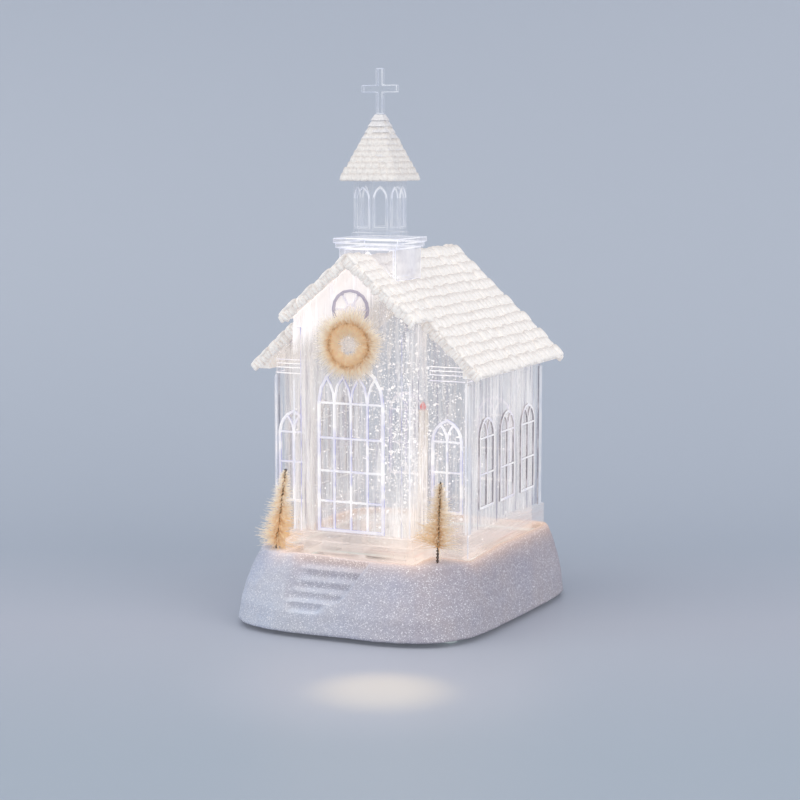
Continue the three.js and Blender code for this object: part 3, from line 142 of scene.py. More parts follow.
def add_node(tree, kind, settings=None, **values):
    """One shader node; settings are its properties, and values its sockets: each is a value, or a
    pair of another node and its outlet.
    """
    made = tree.nodes.new(kind)
    for label, value in (settings or {}).items():
        setattr(made, label, value)
    for label, value in values.items():
        socket = made.inputs[int(label[2:]) if label.startswith("in") else label.replace("_", " ")]
        if isinstance(value, tuple) and isinstance(value[0], bpy.types.Node):
            tree.links.new(value[0].outputs[value[1]], socket)
        else:
            socket.default_value = value
    return made


def wire(source, outlet, target, inlet):
    source.id_data.links.new(source.outputs[outlet], target.inputs[inlet])


def remap(source, outlet, low, high, first=0.0, last=1.0):
    """Maps the range from low to high to the one from first to last."""
    ends = {"in1": low, "in2": high, "in3": first, "in4": last}
    return add_node(source.id_data, "ShaderNodeMapRange", in0=(source, outlet), **ends)


def sums(tree, operation, *terms, clamp=False):
    """One step of arithmetic on numbers and on pairs of a node and its outlet."""
    values = {f"in{place}": term for place, term in enumerate(terms)}
    return add_node(tree, "ShaderNodeMath", {"operation": operation, "use_clamp": clamp}, **values)


card, card_tree, card_surface = new_material("studio card", Roughness=0.42, Specular_IOR_Level=0.35)
card_place = add_node(card_tree, "ShaderNodeTexCoord")
card_split = add_node(card_tree, "ShaderNodeSeparateXYZ", in0=(card_place, "Object"))
# Painted light and shade: the card's colour runs lighter and darker along its depth, in place of the fall-off
# of light across the sweep
card_painted_falloff = add_node(card_tree, "ShaderNodeValToRGB", in0=(remap(card_split, "Y", -0.9, 0.9), 0))
card_falloff_ramp = card_painted_falloff.color_ramp
card_falloff_ramp.elements[0].position = 0.0
card_falloff_ramp.elements[0].color = paint(164, 175, 188)
card_falloff_ramp.elements[1].position = 1.0
card_falloff_ramp.elements[1].color = paint(182, 189, 201)
for place, colour in ((0.36, (172, 182, 193)), (0.48, (184, 188, 199)), (0.58, (176, 184, 196))):
    card_falloff_ramp.elements.new(place).color = paint(*colour)
wire(card_painted_falloff, "Color", card_surface, "Base Color")
# From behind, the camera looks through the card
card_back = add_node(card_tree, "ShaderNodeNewGeometry")
card_path = add_node(card_tree, "ShaderNodeLightPath")
card_hidden = sums(card_tree, "MULTIPLY", (card_back, "Backfacing"), (card_path, "Is Camera Ray"))
card_shown = sums(card_tree, "SUBTRACT", 1.0, (card_hidden, 0))
wire(card_shown, 0, card_surface, "Alpha")
sweep.data.materials.append(card)

# Snow base: one hollow white moulding, its banks and steps sprayed with a coat of fine glitter.
# The sharp moulded form is remeshed and softened, and the coat drifts and grains its surface.


def alone(piece):
    """Selects this object only, and makes it the active one."""
    bpy.ops.object.select_all(action="DESELECT")
    piece.select_set(True)
    bpy.context.view_layer.objects.active = piece


def copy_of(name, new_name):
    """A copy of a CAD node's mesh with its doubles merged, as an object of its own."""
    mesh = cad[name].data.copy()
    mesh.name = new_name
    mesh.materials.clear()
    piece = bpy.data.objects.new(new_name, mesh)
    scene.collection.objects.link(piece)
    alone(piece)
    bpy.ops.object.mode_set(mode="EDIT")
    bpy.ops.mesh.select_all(action="SELECT")
    bpy.ops.mesh.remove_doubles(threshold=0.00001)
    bpy.ops.object.mode_set(mode="OBJECT")
    return piece


def modify(piece, kind, **settings):
    """Adds a modifier with these settings and applies it."""
    alone(piece)
    modifier = piece.modifiers.new(kind.lower(), kind)
    for label, value in settings.items():
        setattr(modifier, label, value)
    bpy.ops.object.modifier_apply(modifier=modifier.name)


def cloud(name, size, depth=2):
    texture = bpy.data.textures.new(name, "CLOUDS")
    texture.noise_scale = size
    texture.noise_depth = depth
    return texture


snow = copy_of("snow_base", "snow_cover")
modify(snow, "REMESH", mode="VOXEL", voxel_size=0.001)
modify(snow, "SMOOTH", factor=0.5, iterations=1)
modify(snow, "DISPLACE", texture=cloud("drift", 0.016), strength=0.0006, mid_level=0.55)
modify(snow, "DISPLACE", texture=cloud("crust", 0.0030), strength=0.0002, mid_level=0.5)
bpy.ops.object.shade_smooth()


def new_group(name, given, *results):
    """A shader group with one number given; returns it with its input, output and place nodes."""
    group = bpy.data.node_groups.new(name, "ShaderNodeTree")
    group.interface.new_socket(given, in_out="INPUT", socket_type="NodeSocketFloat")
    for result in results:
        group.interface.new_socket(result, in_out="OUTPUT", socket_type="NodeSocketFloat")
    kinds = ("NodeGroupInput", "NodeGroupOutput", "ShaderNodeTexCoord")
    return (group, *(add_node(group, kind) for kind in kinds))


def placed(tree, group, value):
    """A group placed in a material; value is its number."""
    made = tree.nodes.new("ShaderNodeGroup")
    made.node_tree = group
    made.inputs[0].default_value = value
    return made


# Spots, and grains painted as bright glints, of about a metre divided by the size
grain, grain_in, grain_out, grain_place = new_group("grain", "Size", "Tone", "Sparkle")
grain_at = {"Vector": (grain_place, "Object"), "Scale": (grain_in, 0)}
grain_noise = add_node(grain, "ShaderNodeTexNoise", Detail=3.0, Roughness=0.7, **grain_at)
grain_cells = add_node(grain, "ShaderNodeTexVoronoi", {"feature": "F1"}, **grain_at)
grain_split = add_node(grain, "ShaderNodeSeparateColor", in0=(grain_cells, "Color"))
wire(remap(grain_noise, 0, 0.3, 0.7), 0, grain_out, "Tone")
wire(remap(grain_split, 0, 0.8, 1.0), 0, grain_out, "Sparkle")


def tint(mask, outlet, first, second):
    """Mixes two colours by a mask; returns the node, whose third output is the colour."""
    sockets = {"in0": (mask, outlet), "in6": first, "in7": second}
    return add_node(mask.id_data, "ShaderNodeMix", {"data_type": "RGBA"}, **sockets)


def multiply(first, second, share=1.0):
    """Multiplies the colours of two pairs of a node and its outlet."""
    blend = {"data_type": "RGBA", "blend_type": "MULTIPLY"}
    return add_node(first[0].id_data, "ShaderNodeMix", blend, in0=share, in6=first, in7=second)


def bump(source, outlet, surface, strength, depth):
    relief = {"Strength": strength, "Distance": depth, "Height": (source, outlet)}
    wire(add_node(source.id_data, "ShaderNodeBump", **relief), "Normal", surface, "Normal")


def vectors(tree, operation, *terms):
    values = {f"in{place}": term for place, term in enumerate(terms)}
    return add_node(tree, "ShaderNodeVectorMath", {"operation": operation}, **values)


def fall_off(group, source, outlet, given, result, power):
    """Light that falls from 1 to 0 over the number that the group is given."""
    share = sums(group, "DIVIDE", (source, outlet), (given, 0))
    left = sums(group, "SUBTRACT", 1.0, (share, 0), clamp=True)
    wire(sums(group, "POWER", (left, 0), power), 0, result, "Light")


# Painted light: a warm glow, as of light leaving the lit plinth, that falls off over the snow within a
# centimetre or two
halo, halo_in, halo_out, halo_place = new_group("plinth light", "Reach", "Light")


def plan_distance(centre, half):
    """How far outside an upright box a point is, in the halo group; height counts 1.6 times."""
    shift = vectors(halo, "SUBTRACT", (halo_place, "Object"), centre)
    beyond = vectors(halo, "SUBTRACT", (vectors(halo, "ABSOLUTE", (shift, 0)), 0), half)
    outside = vectors(halo, "MAXIMUM", (beyond, 0), (0, 0, 0))
    flat = vectors(halo, "MULTIPLY", (outside, 0), (1, 1, 1.6))
    return vectors(halo, "LENGTH", (flat, 0))


nave_far = plan_distance((0, 0.0145, 0.0430), (0.053, 0.051, 0.006))
bay_far = plan_distance((0, -0.0450, 0.0430), (0.034, 0.0136, 0.006))
halo_near = sums(halo, "MINIMUM", (nave_far, "Value"), (bay_far, "Value"))
fall_off(halo, halo_near, 0, halo_in, halo_out, 3.0)

snow_coat, snow_tree, snow_surface = new_material(
    "glittered snow", Roughness=0.85, Specular_IOR_Level=0.3, Emission_Strength=1.0
)
snow_grain = placed(snow_tree, grain, 2700.0)
# Painted light and shade: faces that look up are lighter and steep faces darker, as light falls from above
snow_shaded_side = tint(snow_grain, "Tone", paint(149, 146, 157), paint(195, 191, 199))
snow_lit_top = tint(snow_grain, "Tone", paint(175, 173, 184), paint(213, 211, 219))
snow_facing = add_node(snow_tree, "ShaderNodeNewGeometry")
snow_split = add_node(snow_tree, "ShaderNodeSeparateXYZ", in0=(snow_facing, "Normal"))
snow_painted_top_light = tint(remap(snow_split, "Z", 0.15, 0.8), 0, (snow_shaded_side, 2), (snow_lit_top, 2))
snow_shift = tint(placed(snow_tree, grain, 28.0), "Tone", paint(255, 250, 247), paint(244, 247, 255))
snow_base = multiply((snow_painted_top_light, 2), (snow_shift, 2))
snow_place = add_node(snow_tree, "ShaderNodeTexCoord")
snow_height = add_node(snow_tree, "ShaderNodeSeparateXYZ", in0=(snow_place, "Object"))
# Painted light: the snow is made brighter towards its foot, where the table shades it
snow_rise = remap(snow_height, "Z", 0.004, 0.034)
snow_painted_bottom_light = tint(snow_rise, 0, (1.24, 1.32, 1.3, 1), (1, 1, 1, 1))
snow_bottom_lit = multiply((snow_base, 2), (snow_painted_bottom_light, 2))
# Painted light and shade: its colour runs from cool and lighter at the left to darker and rosy at the right
snow_across = sums(snow_tree, "MULTIPLY_ADD", (snow_height, "X"), 18.0, (snow_split, "X"))
snow_side = remap(snow_across, 0, -0.7, 1.2)
snow_painted_side_shade = tint(snow_side, 0, (1.1, 1.17, 1.2, 1), (0.92, 0.865, 0.85, 1))
snow_side_shaded = multiply((snow_bottom_lit, 2), (snow_painted_side_shade, 2))
# Painted highlight: bright glints on the glitter
snow_painted_glint = tint(snow_grain, "Sparkle", (snow_side_shaded, 2), paint(246, 246, 250))
wire(snow_painted_glint, 2, snow_surface, "Base Color")
bump(snow_grain, "Tone", snow_surface, 0.4, 0.0003)
# Painted light: the snow near the plinth glows warm
snow_painted_glow = tint(placed(snow_tree, halo, 0.022), "Light", (0, 0, 0, 1), paint(182, 142, 94))
wire(snow_painted_glow, 2, snow_surface, "Emission Color")
snow.data.materials.append(snow_coat)
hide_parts("snow_base")
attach(snow, "base")

# Roof: one frosted moulding that shows as rows of small rounded shingles under a coat of glitter.
# The moulded courses stay, and a rounded shingle is laid over each place on every slope.


def pillow(width, length, thickness):
    """A rounded shingle that lies flat, its lower edge towards -Y and its back sunk in the roof."""
    bpy.ops.object.select_all(action="DESELECT")
    bpy.ops.mesh.primitive_ico_sphere_add(subdivisions=2, radius=1, location=(0, 0, 0))
    made = bpy.context.object
    halves = (width / 2, length / 2, thickness / 2)
    squareness = (0.5, 0.5, 0.75)
    for vertex in made.data.vertices:
        vertex.co = [math.copysign(abs(c) ** k, c) * h for c, k, h in zip(vertex.co, squareness, halves)]
        vertex.co.z += thickness * 0.2
    return made


def lay(pattern, places, name, share):
    """One mesh of copies of the pattern, each put at a place matrix; share is kept on its points."""
    shape = bmesh.new()
    for place in places:
        copy = pattern.data.copy()
        copy.transform(place)
        shape.from_mesh(copy)
        bpy.data.meshes.remove(copy)
    mesh = bpy.data.meshes.new(name)
    shape.to_mesh(mesh)
    shape.free()
    piece = bpy.data.objects.new(name, mesh)
    scene.collection.objects.link(piece)
    bpy.data.objects.remove(pattern)
    along = mesh.attributes.new("along", "FLOAT", "POINT")
    along.data.foreach_set("value", share * len(places))
    alone(piece)
    bpy.ops.object.shade_smooth()
    return piece


def on_slope(foot, along, up, roll, tilt, scale):
    """The matrix that lays a shingle with its middle at foot, its width along and its head up."""
    along = along.normalized()
    up = up.normalized()
    out = along.cross(up)
    turn = Matrix((along, up, out)).transposed().to_4x4()
    lean = Matrix.Rotation(roll, 4, "Z") @ Matrix.Rotation(tilt, 4, "X")
    return Matrix.Translation(foot) @ turn @ lean @ Matrix.Diagonal((*scale, 1))


rng = random.Random(41)
# Of nave and bay: how far out and how high the eave lies, the ridge's height, front, back, courses
ridge_slopes = (
    (0.0607, 0.1254, 0.1800, -0.0409, 0.0696, 13),
    (0.0352, 0.1520, 0.1810, -0.0598, -0.0409, 8),
)
shingle_width = 0.0056
shingle_length = 0.0072
shingle_lift = math.radians(5)
barge_drop = 0.0021
shingle_places = []
for eave_x, eave_z, ridge_z, front_y, back_y, courses in ridge_slopes:
    for side in (-1, 1):
        up = Vector((-side * eave_x, 0, ridge_z - eave_z))
        step = up / courses
        along = Vector((0, side, 0))
        out = along.cross(up).normalized()
        count = round((back_y - front_y) / shingle_width)
        for course in range(courses):
            low = Vector((side * eave_x, 0, eave_z)) + step * (course + 0.36)
            for place in range(count):
                shift = 0.5 if course % 2 == 0 else 0.25
                y = front_y + (place + shift) * (back_y - front_y) / count
                foot = low + Vector((0, y, 0)) + out * rng.uniform(-0.0002, 0.0003)
                foot += up.normalized() * rng.uniform(-0.0007, 0.0007)
                size = (rng.uniform(0.94, 1.18), rng.uniform(0.94, 1.06), rng.uniform(0.8, 1.25))
                roll = rng.uniform(-0.07, 0.07)
                shingle_places.append(on_slope(foot, along, up, roll, shingle_lift, size))
            for end_y, end_way in ((front_y, -1), (back_y, 1)):
                across = up.cross(Vector((0, end_way, 0)))
                for part in (0.0, 0.34, 0.68):
                    foot = Vector((side * eave_x, end_y, eave_z)) + step * (course + part) - out * barge_drop
                    foot += (
                        up.normalized() * rng.uniform(-0.0006, 0.0006)
                        + out * rng.uniform(-0.0003, 0.0005)
                    )
                    size = (rng.uniform(0.6, 0.9), rng.uniform(0.3, 0.46), rng.uniform(0.5, 1.1))
                    roll = rng.uniform(-0.3, 0.3)
                    shingle_places.append(on_slope(foot, across, up, roll, shingle_lift, size))
shingle = pillow(shingle_width * 1.12, shingle_length * 1.08, 0.0021)
shingle_share = [0.5 - v.co.y / shingle_length for v in shingle.data.vertices]
roof_shingles = lay(shingle, shingle_places, "roof_shingles", shingle_share)


def coat(surface, tone):
    """Gives a surface the colour of a mix node, and its glow the same colour."""
    for label in ("Base Color", "Emission Color"):
        wire(tone, 2, surface, label)


# Painted light: the frosted roof glows in its own colour, as if lit from inside, and has painted glints
frost, frost_tree, frost_surface = new_material(
    "frosted roof", Roughness=0.7, Specular_IOR_Level=0.4, Emission_Strength=0.22
)
frost_grain = placed(frost_tree, grain, 800.0)
frost_tone = tint(frost_grain, "Tone", paint(224, 217, 211), paint(246, 241, 235))
coat(frost_surface, tint(frost_grain, "Sparkle", (frost_tone, 2), paint(255, 255, 255)))
bump(frost_grain, "Tone", frost_surface, 0.5, 0.0004)


def shingle_finish(name, glow):
    """The same plastic with a painted glow, and painted shade towards the head of a shingle, where the next
    course covers it.
    """
    material, tree, surface = new_material(
        name, Roughness=0.7, Specular_IOR_Level=0.4, Emission_Strength=glow
    )
    spots = placed(tree, grain, 800.0)
    along = add_node(tree, "ShaderNodeAttribute", {"attribute_name": "along"})
    # Painted shade: the head of each shingle, under the next course, is darker
    low = tint(spots, "Tone", paint(208, 201, 196), paint(230, 223, 217))
    high = tint(spots, "Tone", paint(228, 222, 217), paint(252, 247, 241))
    coat(surface, tint(remap(along, "Fac", 0.08, 0.45), 0, (low, 2), (high, 2)))
    bump(spots, "Tone", surface, 0.5, 0.0004)
    return material


roof_shingles.data.materials.append(shingle_finish("roof shingle", 0.215))
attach(roof_shingles, "base")


def dress(material, *names):
    for name in names:
        cad[name].data.materials.clear()
        cad[name].data.materials.append(material)


dress(frost, "roof")


def spotted(name, size, dark, light, relief=0.0, depth=0.0001, **values):
    """A plain finish whose tone, and where it has relief its surface, varies a little in spots."""
    material, tree, surface = new_material(name, **values)
    spots = placed(tree, grain, size)
    tone = tint(spots, "Tone", dark, light)
    wire(tone, 2, surface, "Base Color")
    if "Emission_Strength" in values:
        coat(surface, tone)
    if relief:
        bump(spots, "Tone", surface, relief, depth)
    return material


dull_frost = spotted(
    "frosted steeple", 800.0, paint(230, 226, 225), paint(246, 243, 242), relief=0.5, depth=0.0004,
    Roughness=0.7, Specular_IOR_Level=0.4,
)
dress(dull_frost, "steeple_roof")

# Steeple roof: the same frosted plastic, four slopes with small shingles that run out at the top.
# Each row has as many shingles as fit its width, so they stay about the same size up the slope.
steeple_middle = Vector((0, -0.0224, 0))
steeple_foot = (0.0145, 0.2164)
steeple_head = (0.0026, 0.2436)
steeple_rows = 10
steeple_width = 0.0034
steeple_length = 0.0038
steeple_places = []
for turn in range(4):
    quarter = Matrix.Rotation(turn * math.pi / 2, 3, "Z")
    along = quarter @ Vector((0, 1, 0))
    up = quarter @ Vector((steeple_head[0] - steeple_foot[0], 0, steeple_head[1] - steeple_foot[1]))
    out = along.cross(up).normalized()
    for row in range(steeple_rows):
        share = (row + 0.42) / steeple_rows
        half = steeple_foot[0] + (steeple_head[0] - steeple_foot[0]) * share
        height = steeple_foot[1] + (steeple_head[1] - steeple_foot[1]) * share
        count = max(1, round(2 * half / steeple_width))
        for place in range(count):
            across = -half + (place + 0.5) * 2 * half / count
            foot = (
                steeple_middle + quarter @ Vector((half, across, height))
                + out * rng.uniform(-0.0003, 0.0001)
            )
            size = (2 * half / count / steeple_width * 1.03, rng.uniform(0.92, 1.05), rng.uniform(0.7, 1.2))
            roll = rng.uniform(-0.04, 0.04)
            steeple_places.append(on_slope(foot, along, up, roll, shingle_lift, size))
small_shingle = pillow(steeple_width * 1.1, steeple_length * 1.1, 0.0014)
small_share = [0.5 - v.co.y / steeple_length for v in small_shingle.data.vertices]
steeple_shingles = lay(small_shingle, steeple_places, "steeple_shingles", small_share)
steeple_shingles.data.materials.append(shingle_finish("steeple shingle", 0.07))
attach(steeple_shingles, "base")

# Church body: one thick clear moulding. Light from the base runs up inside its walls and leaves at every
# edge, so the frames, bars and corners shine white and violet while the flat walls stay clear; this light and
# shade is painted into their colour and glow.

# Painted light: water and plastic over the lamp that shines up through the tank floor, right of the door, are
# made brighter and warmer
beam, beam_in, beam_out, beam_place = new_group("lamp beam", "Width", "Light")
beam_shift = vectors(beam, "SUBTRACT", (beam_place, "Object"), (0.024, -0.045, 0.043))
beam_squash = vectors(beam, "MULTIPLY", (beam_shift, 0), (1.0, 0.55, 0.42))
beam_length = vectors(beam, "LENGTH", (beam_squash, 0))
fall_off(beam, beam_length, "Value", beam_in, beam_out, 2.0)


def add_up(source, outlet, factor, before):
    """Adds a mask times a factor to the node before it."""
    return sums(source.id_data, "MULTIPLY_ADD", (source, outlet), factor, (before, 0), clamp=True)


# Streaks in the plastic run up the walls and along the plinth
clear, clear_tree, clear_surface = new_material("clear moulding", Roughness=0.05, IOR=1.49)
clear_place = add_node(clear_tree, "ShaderNodeTexCoord")
clear_at = (clear_place, "Object")
clear_split = add_node(clear_tree, "ShaderNodeSeparateXYZ", in0=clear_at)
clear_upward = add_node(clear_tree, "ShaderNodeMapping", Vector=clear_at, Scale=(1, 1, 0.06))
clear_level = add_node(clear_tree, "ShaderNodeMapping", Vector=clear_at, Scale=(0.05, 0.05, 1))
clear_wall = remap(clear_split, "Z", 0.0468, 0.0478)
clear_ends = {"in0": (clear_wall, 0), "in4": (clear_level, 0), "in5": (clear_upward, 0)}
clear_streak = add_node(clear_tree, "ShaderNodeMix", {"data_type": "VECTOR"}, **clear_ends)


def streaks(size, detail, roughness):
    values = {"Scale": size, "Detail": detail, "Roughness": roughness}
    return add_node(clear_tree, "ShaderNodeTexNoise", Vector=(clear_streak, 1), **values)


clear_veil = remap(streaks(110.0, 3.0, 0.6), 0, 0.45, 0.75)
clear_light = remap(streaks(520.0, 2.0, 0.5), 0, 0.56, 0.64)
clear_dark = remap(streaks(300.0, 2.0, 0.5), 0, 0.56, 0.68)
clear_rim = add_node(clear_tree, "ShaderNodeLayerWeight", Blend=0.5)
clear_cover = remap(clear_rim, "Facing", 0.2, 1.0, 0.025, 0.42)
clear_strong = remap(clear_wall, 0, 0.0, 1.0, 0.4, 1.0)
clear_lines = sums(clear_tree, "MULTIPLY", (clear_light, 0), (clear_strong, 0))
clear_lamp = placed(clear_tree, beam, 0.025)
clear_alpha = clear_cover
for source, outlet, factor in (
    (clear_veil, 0, 0.1), (clear_lines, 0, 0.35), (clear_dark, 0, 0.2), (clear_lamp, "Light", 0.55),
):
    clear_alpha = add_up(source, outlet, factor, clear_alpha)
# The front walls are the clearest, and so is the side of the bay where the flame shows through it
flame_window = Vector((0.031, -0.0408, 0.1099))
clear_normal = add_node(clear_tree, "ShaderNodeNewGeometry")
clear_sides = add_node(clear_tree, "ShaderNodeSeparateXYZ", in0=(clear_normal, "Normal"))
clear_front = sums(clear_tree, "ABSOLUTE", (clear_sides, "Y"))
clear_share = remap(clear_front, 0, 0.5, 0.9, 1.0, 0.76)
clear_near = vectors(clear_tree, "DISTANCE", clear_at, flame_window)
clear_spot = remap(clear_near, "Value", 0.0014, 0.0048, 0.08, 1.0)
clear_part = sums(clear_tree, "MULTIPLY", (clear_share, 0), (clear_spot, 0))
clear_whole = sums(clear_tree, "MULTIPLY", (clear_alpha, 0), (clear_part, 0))
# Painted light: under the slopes of the bay the gable is painted white and glows brighter, most of all at the
# left; all the walls glow a little
clear_gable = sums(clear_tree, "MULTIPLY_ADD", (clear_split, "X"), -0.55, (clear_split, "Z"))
clear_high = remap(clear_gable, 0, 0.149, 0.158)
clear_bay = remap(clear_split, "Y", -0.0500, -0.0535)
clear_bright = sums(clear_tree, "MULTIPLY", (clear_high, 0), (clear_bay, 0))
wire(remap(clear_bright, 0, 0.0, 1.0, 0.26, 0.4), 0, clear_surface, "Emission Strength")
wire(add_up(clear_bright, 0, 0.5, clear_whole), 0, clear_surface, "Alpha")
# Painted light: the plinth is painted warm, as lit by the lamps below it; the walls above are cool
clear_white = tint(clear_wall, 0, paint(252, 238, 230), paint(252, 248, 245))
clear_shade = tint(clear_wall, 0, paint(216, 190, 182), paint(152, 147, 162))
clear_tone = tint(clear_dark, 0, (clear_white, 2), (clear_shade, 2))
clear_gable_share = sums(clear_tree, "MULTIPLY", (clear_bright, 0), 0.85)
clear_gable_lit = tint(clear_gable_share, 0, (clear_tone, 2), paint(252, 247, 246))
clear_glow = tint(clear_lamp, "Light", (clear_gable_lit, 2), paint(255, 247, 234))
wire(clear_gable_lit, 2, clear_surface, "Base Color")
wire(clear_glow, 2, clear_surface, "Emission Color")


def pale_finish(name, low, high, dark, light, glow):
    """Clear plastic above the roof, where no light reaches it: its rims and a faint painted glow show."""
    material, tree, surface = new_material(name, Roughness=0.05, IOR=1.49, Emission_Strength=glow)
    rim = add_node(tree, "ShaderNodeLayerWeight", Blend=0.5)
    wire(remap(rim, "Facing", 0.2, 1.0, low, high), 0, surface, "Alpha")
    coat(surface, tint(placed(tree, grain, 90.0), "Tone", dark, light))
    return material


pale = pale_finish("clear plastic", 0.04, 0.34, paint(208, 211, 220), paint(240, 242, 248), 0.07)
cloudy = pale_finish("cloudy plastic", 0.14, 0.7, paint(206, 204, 214), paint(252, 250, 252), 0.2)


def lit_line(name, first, second, cover, glow):
    """A finish for the edges and bars of a clear moulding, in two colours that run into each other, which
    carry painted light and a painted glow.
    """
    material, tree, surface = new_material(name, Roughness=0.1, IOR=1.49, Alpha=cover, Emission_Strength=glow)
    at = (add_node(tree, "ShaderNodeTexCoord"), "Object")
    noise = add_node(tree, "ShaderNodeTexNoise", Scale=70.0, Detail=3.0, Roughness=0.6, Vector=at)
    coat(surface, tint(remap(noise, 0, 0.44, 0.58), 0, first, second))
    return material


# Painted light and shade: lit edges and bars are white and glow, shaded sides violet and dark
lit_edge = lit_line("lit edge", paint(252, 249, 250), paint(168, 170, 220), 0.75, 0.25)
lit_bar = lit_line("lit bar", paint(255, 252, 250), paint(232, 228, 238), 0.7, 0.35)
lit_face = lit_line("lit face", paint(253, 251, 251), paint(226, 230, 240), 0.42, 0.25)
painted_shade_edge = lit_line("dark edge", paint(120, 110, 120), paint(206, 198, 198), 0.6, 0.1)
pale_edge = lit_line("pale edge", paint(250, 251, 253), paint(214, 220, 236), 0.45, 0.2)
pale_bar = lit_line("pale bar", paint(250, 251, 253), paint(232, 234, 244), 0.6, 0.25)
deck_edge = lit_line("deck edge", paint(254, 253, 253), paint(222, 224, 236), 0.85, 0.35)

# Against the white gable the ring of the rose window shows violet grey, and its spokes pale: painted shade
# and light, with a painted glow
rose_middle = Vector((0, -0.0552, 0.1555))
rose_reach = 0.0102
rose_line, rose_tree, rose_surface = new_material(
    "rose line", Roughness=0.1, IOR=1.49, Alpha=0.7, Emission_Strength=0.15
)
rose_place = add_node(rose_tree, "ShaderNodeTexCoord")
rose_far = vectors(rose_tree, "DISTANCE", (rose_place, "Object"), rose_middle)
rose_ring = remap(rose_far, "Value", 0.0074, 0.0082)
coat(rose_surface, tint(rose_ring, 0, paint(238, 234, 244), paint(164, 158, 182)))


def soft_edged(name, new_name, width, finishes, finish_of):
    """A copy of a clear moulding with rounded edges; finish_of picks each face's finish by number."""
    piece = copy_of(name, new_name)
    for material in finishes:
        piece.data.materials.append(material)
    bpy.ops.object.mode_set(mode="EDIT")
    bpy.ops.mesh.select_all(action="SELECT")
    bpy.ops.mesh.dissolve_limited(angle_limit=math.radians(1))
    bpy.ops.object.mode_set(mode="OBJECT")
    modify(
        piece, "BEVEL", width=width, segments=2, limit_method="ANGLE",
        angle_limit=math.radians(25), material=1,
    )
    bpy.ops.object.shade_smooth_by_angle(angle=math.radians(35))
    for face in piece.data.polygons:
        face.material_index = finish_of(face)
    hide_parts(name)
    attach(piece, "base")


# The walls as planes: where each lies, the way that it faces, what it covers, and its pilasters
plinth_top = 0.0475
bay_half = 0.0310
proud = 0.0003
walls = (
    (
        Vector((0, -0.0552, 0)), Vector((0, -1, 0)),
        lambda x, y: abs(x) < bay_half, lambda x, y: abs(x) > 0.0265,
    ),
    (
        Vector((0, -0.0350, 0)), Vector((0, -1, 0)),
        lambda x, y: abs(x) > bay_half, lambda x, y: abs(x) > 0.0465,
    ),
    (Vector((0.0512, 0, 0)), Vector((1, 0, 0)), lambda x, y: True, lambda x, y: not -0.0305 < y < 0.0592),
    (Vector((-0.0512, 0, 0)), Vector((-1, 0, 0)), lambda x, y: True, lambda x, y: not -0.0305 < y < 0.0592),
    (Vector((0, 0.0637, 0)), Vector((0, 1, 0)), lambda x, y: True, lambda x, y: abs(x) > 0.0465),
)


def church_finish(face):
    """The place of a face's finish in body_finishes. Bars that stand out of a wall are painted lit white,
    their sides painted violet shade, darker on the side walls. The broad faces of the pilasters stay clear,
    and only their rounded edges carry painted light.
    """
    if face.center.z > plinth_top:
        for middle, way, covers, pilaster in walls:
            x, y = face.center.x, face.center.y
            if (face.center - middle).dot(way) > proud and covers(x, y):
                if (face.center - rose_middle).length < rose_reach:
                    return 5
                if face.normal.dot(way) > 0.9:
                    if pilaster(x, y):
                        return 4 if abs(way.x) > 0.5 else 0
                    return 2
                return 3 if abs(way.x) > 0.5 else 1
    return face.material_index


belfry_half = 0.00965
belfry_spring = 0.2070


def own_finish(face):
    return face.material_index


def belfry_finish(face):
    """The heads of the small windows carry painted light, their uprights hardly show."""
    out = max(abs(face.center.x), abs(face.center.y - steeple_middle.y))
    return 2 if out > belfry_half + 0.0002 and face.center.z > belfry_spring else face.material_index


body_finishes = (clear, lit_edge, lit_bar, painted_shade_edge, lit_face, rose_line)
top_finishes = (pale, pale_edge, pale_bar)
deck_finishes = (cloudy, deck_edge, pale_bar)
soft_edged("church_body", "church_shell", 0.00025, body_finishes, church_finish)
soft_edged("tower_deck", "tower_deck_moulding", 0.0004, deck_finishes, own_finish)
soft_edged("belfry", "belfry_moulding", 0.0002, top_finishes, belfry_finish)
soft_edged("cross", "cross_moulding", 0.0004, top_finishes, own_finish)
dress(clear, "tank_floor", "stirrer_guard")

# Fine mouldings at the height of the eaves, on both sides of the bay and along the side walls, in finishes
# painted with edge light
cornice = bmesh.new()
cornice_rise = (0.1212, 0.1240, 0.1260, 0.1279)
cornice_thick = 0.0003
# The corners of the walls and of the plinth pipe more light than any other edge: thin beads painted with that
# light
corner_beads = (
    (0.0306, -0.0552, 0.0476, 0.1205), (0.0510, -0.0354, 0.0476, 0.1205), (0.0526, -0.0364, 0.0362, 0.0474),
)
bead_wide = 0.0006
for side in (-1, 1):
    spots = [(0.0412, -0.0353, 0.0184, cornice_thick, z) for z in cornice_rise]
    spots += [(0.0515, 0.0143, cornice_thick, 0.0972, z) for z in cornice_rise[:1]]
    for x, y, width, depth, z in spots:
        size = Matrix.Diagonal((width, depth, cornice_thick * 1.5, 1))
        bmesh.ops.create_cube(cornice, size=1, matrix=Matrix.Translation((side * x, y, z)) @ size)
    for x, y, low, high in corner_beads:
        size = Matrix.Diagonal((bead_wide, bead_wide, high - low, 1))
        middle = Matrix.Translation((side * x, y, (low + high) / 2))
        bmesh.ops.create_cube(cornice, size=1, matrix=middle @ size)
cornice_mesh = bpy.data.meshes.new("cornice_lines")
cornice.to_mesh(cornice_mesh)
cornice.free()
cornice_lines = bpy.data.objects.new("cornice_lines", cornice_mesh)
scene.collection.objects.link(cornice_lines)
cornice_mesh.materials.append(lit_bar)
cornice_mesh.materials.append(lit_face)
for face in cornice_mesh.polygons:
    face.material_index = 1 if face.center.z < 0.1206 else 0
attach(cornice_lines, "base")

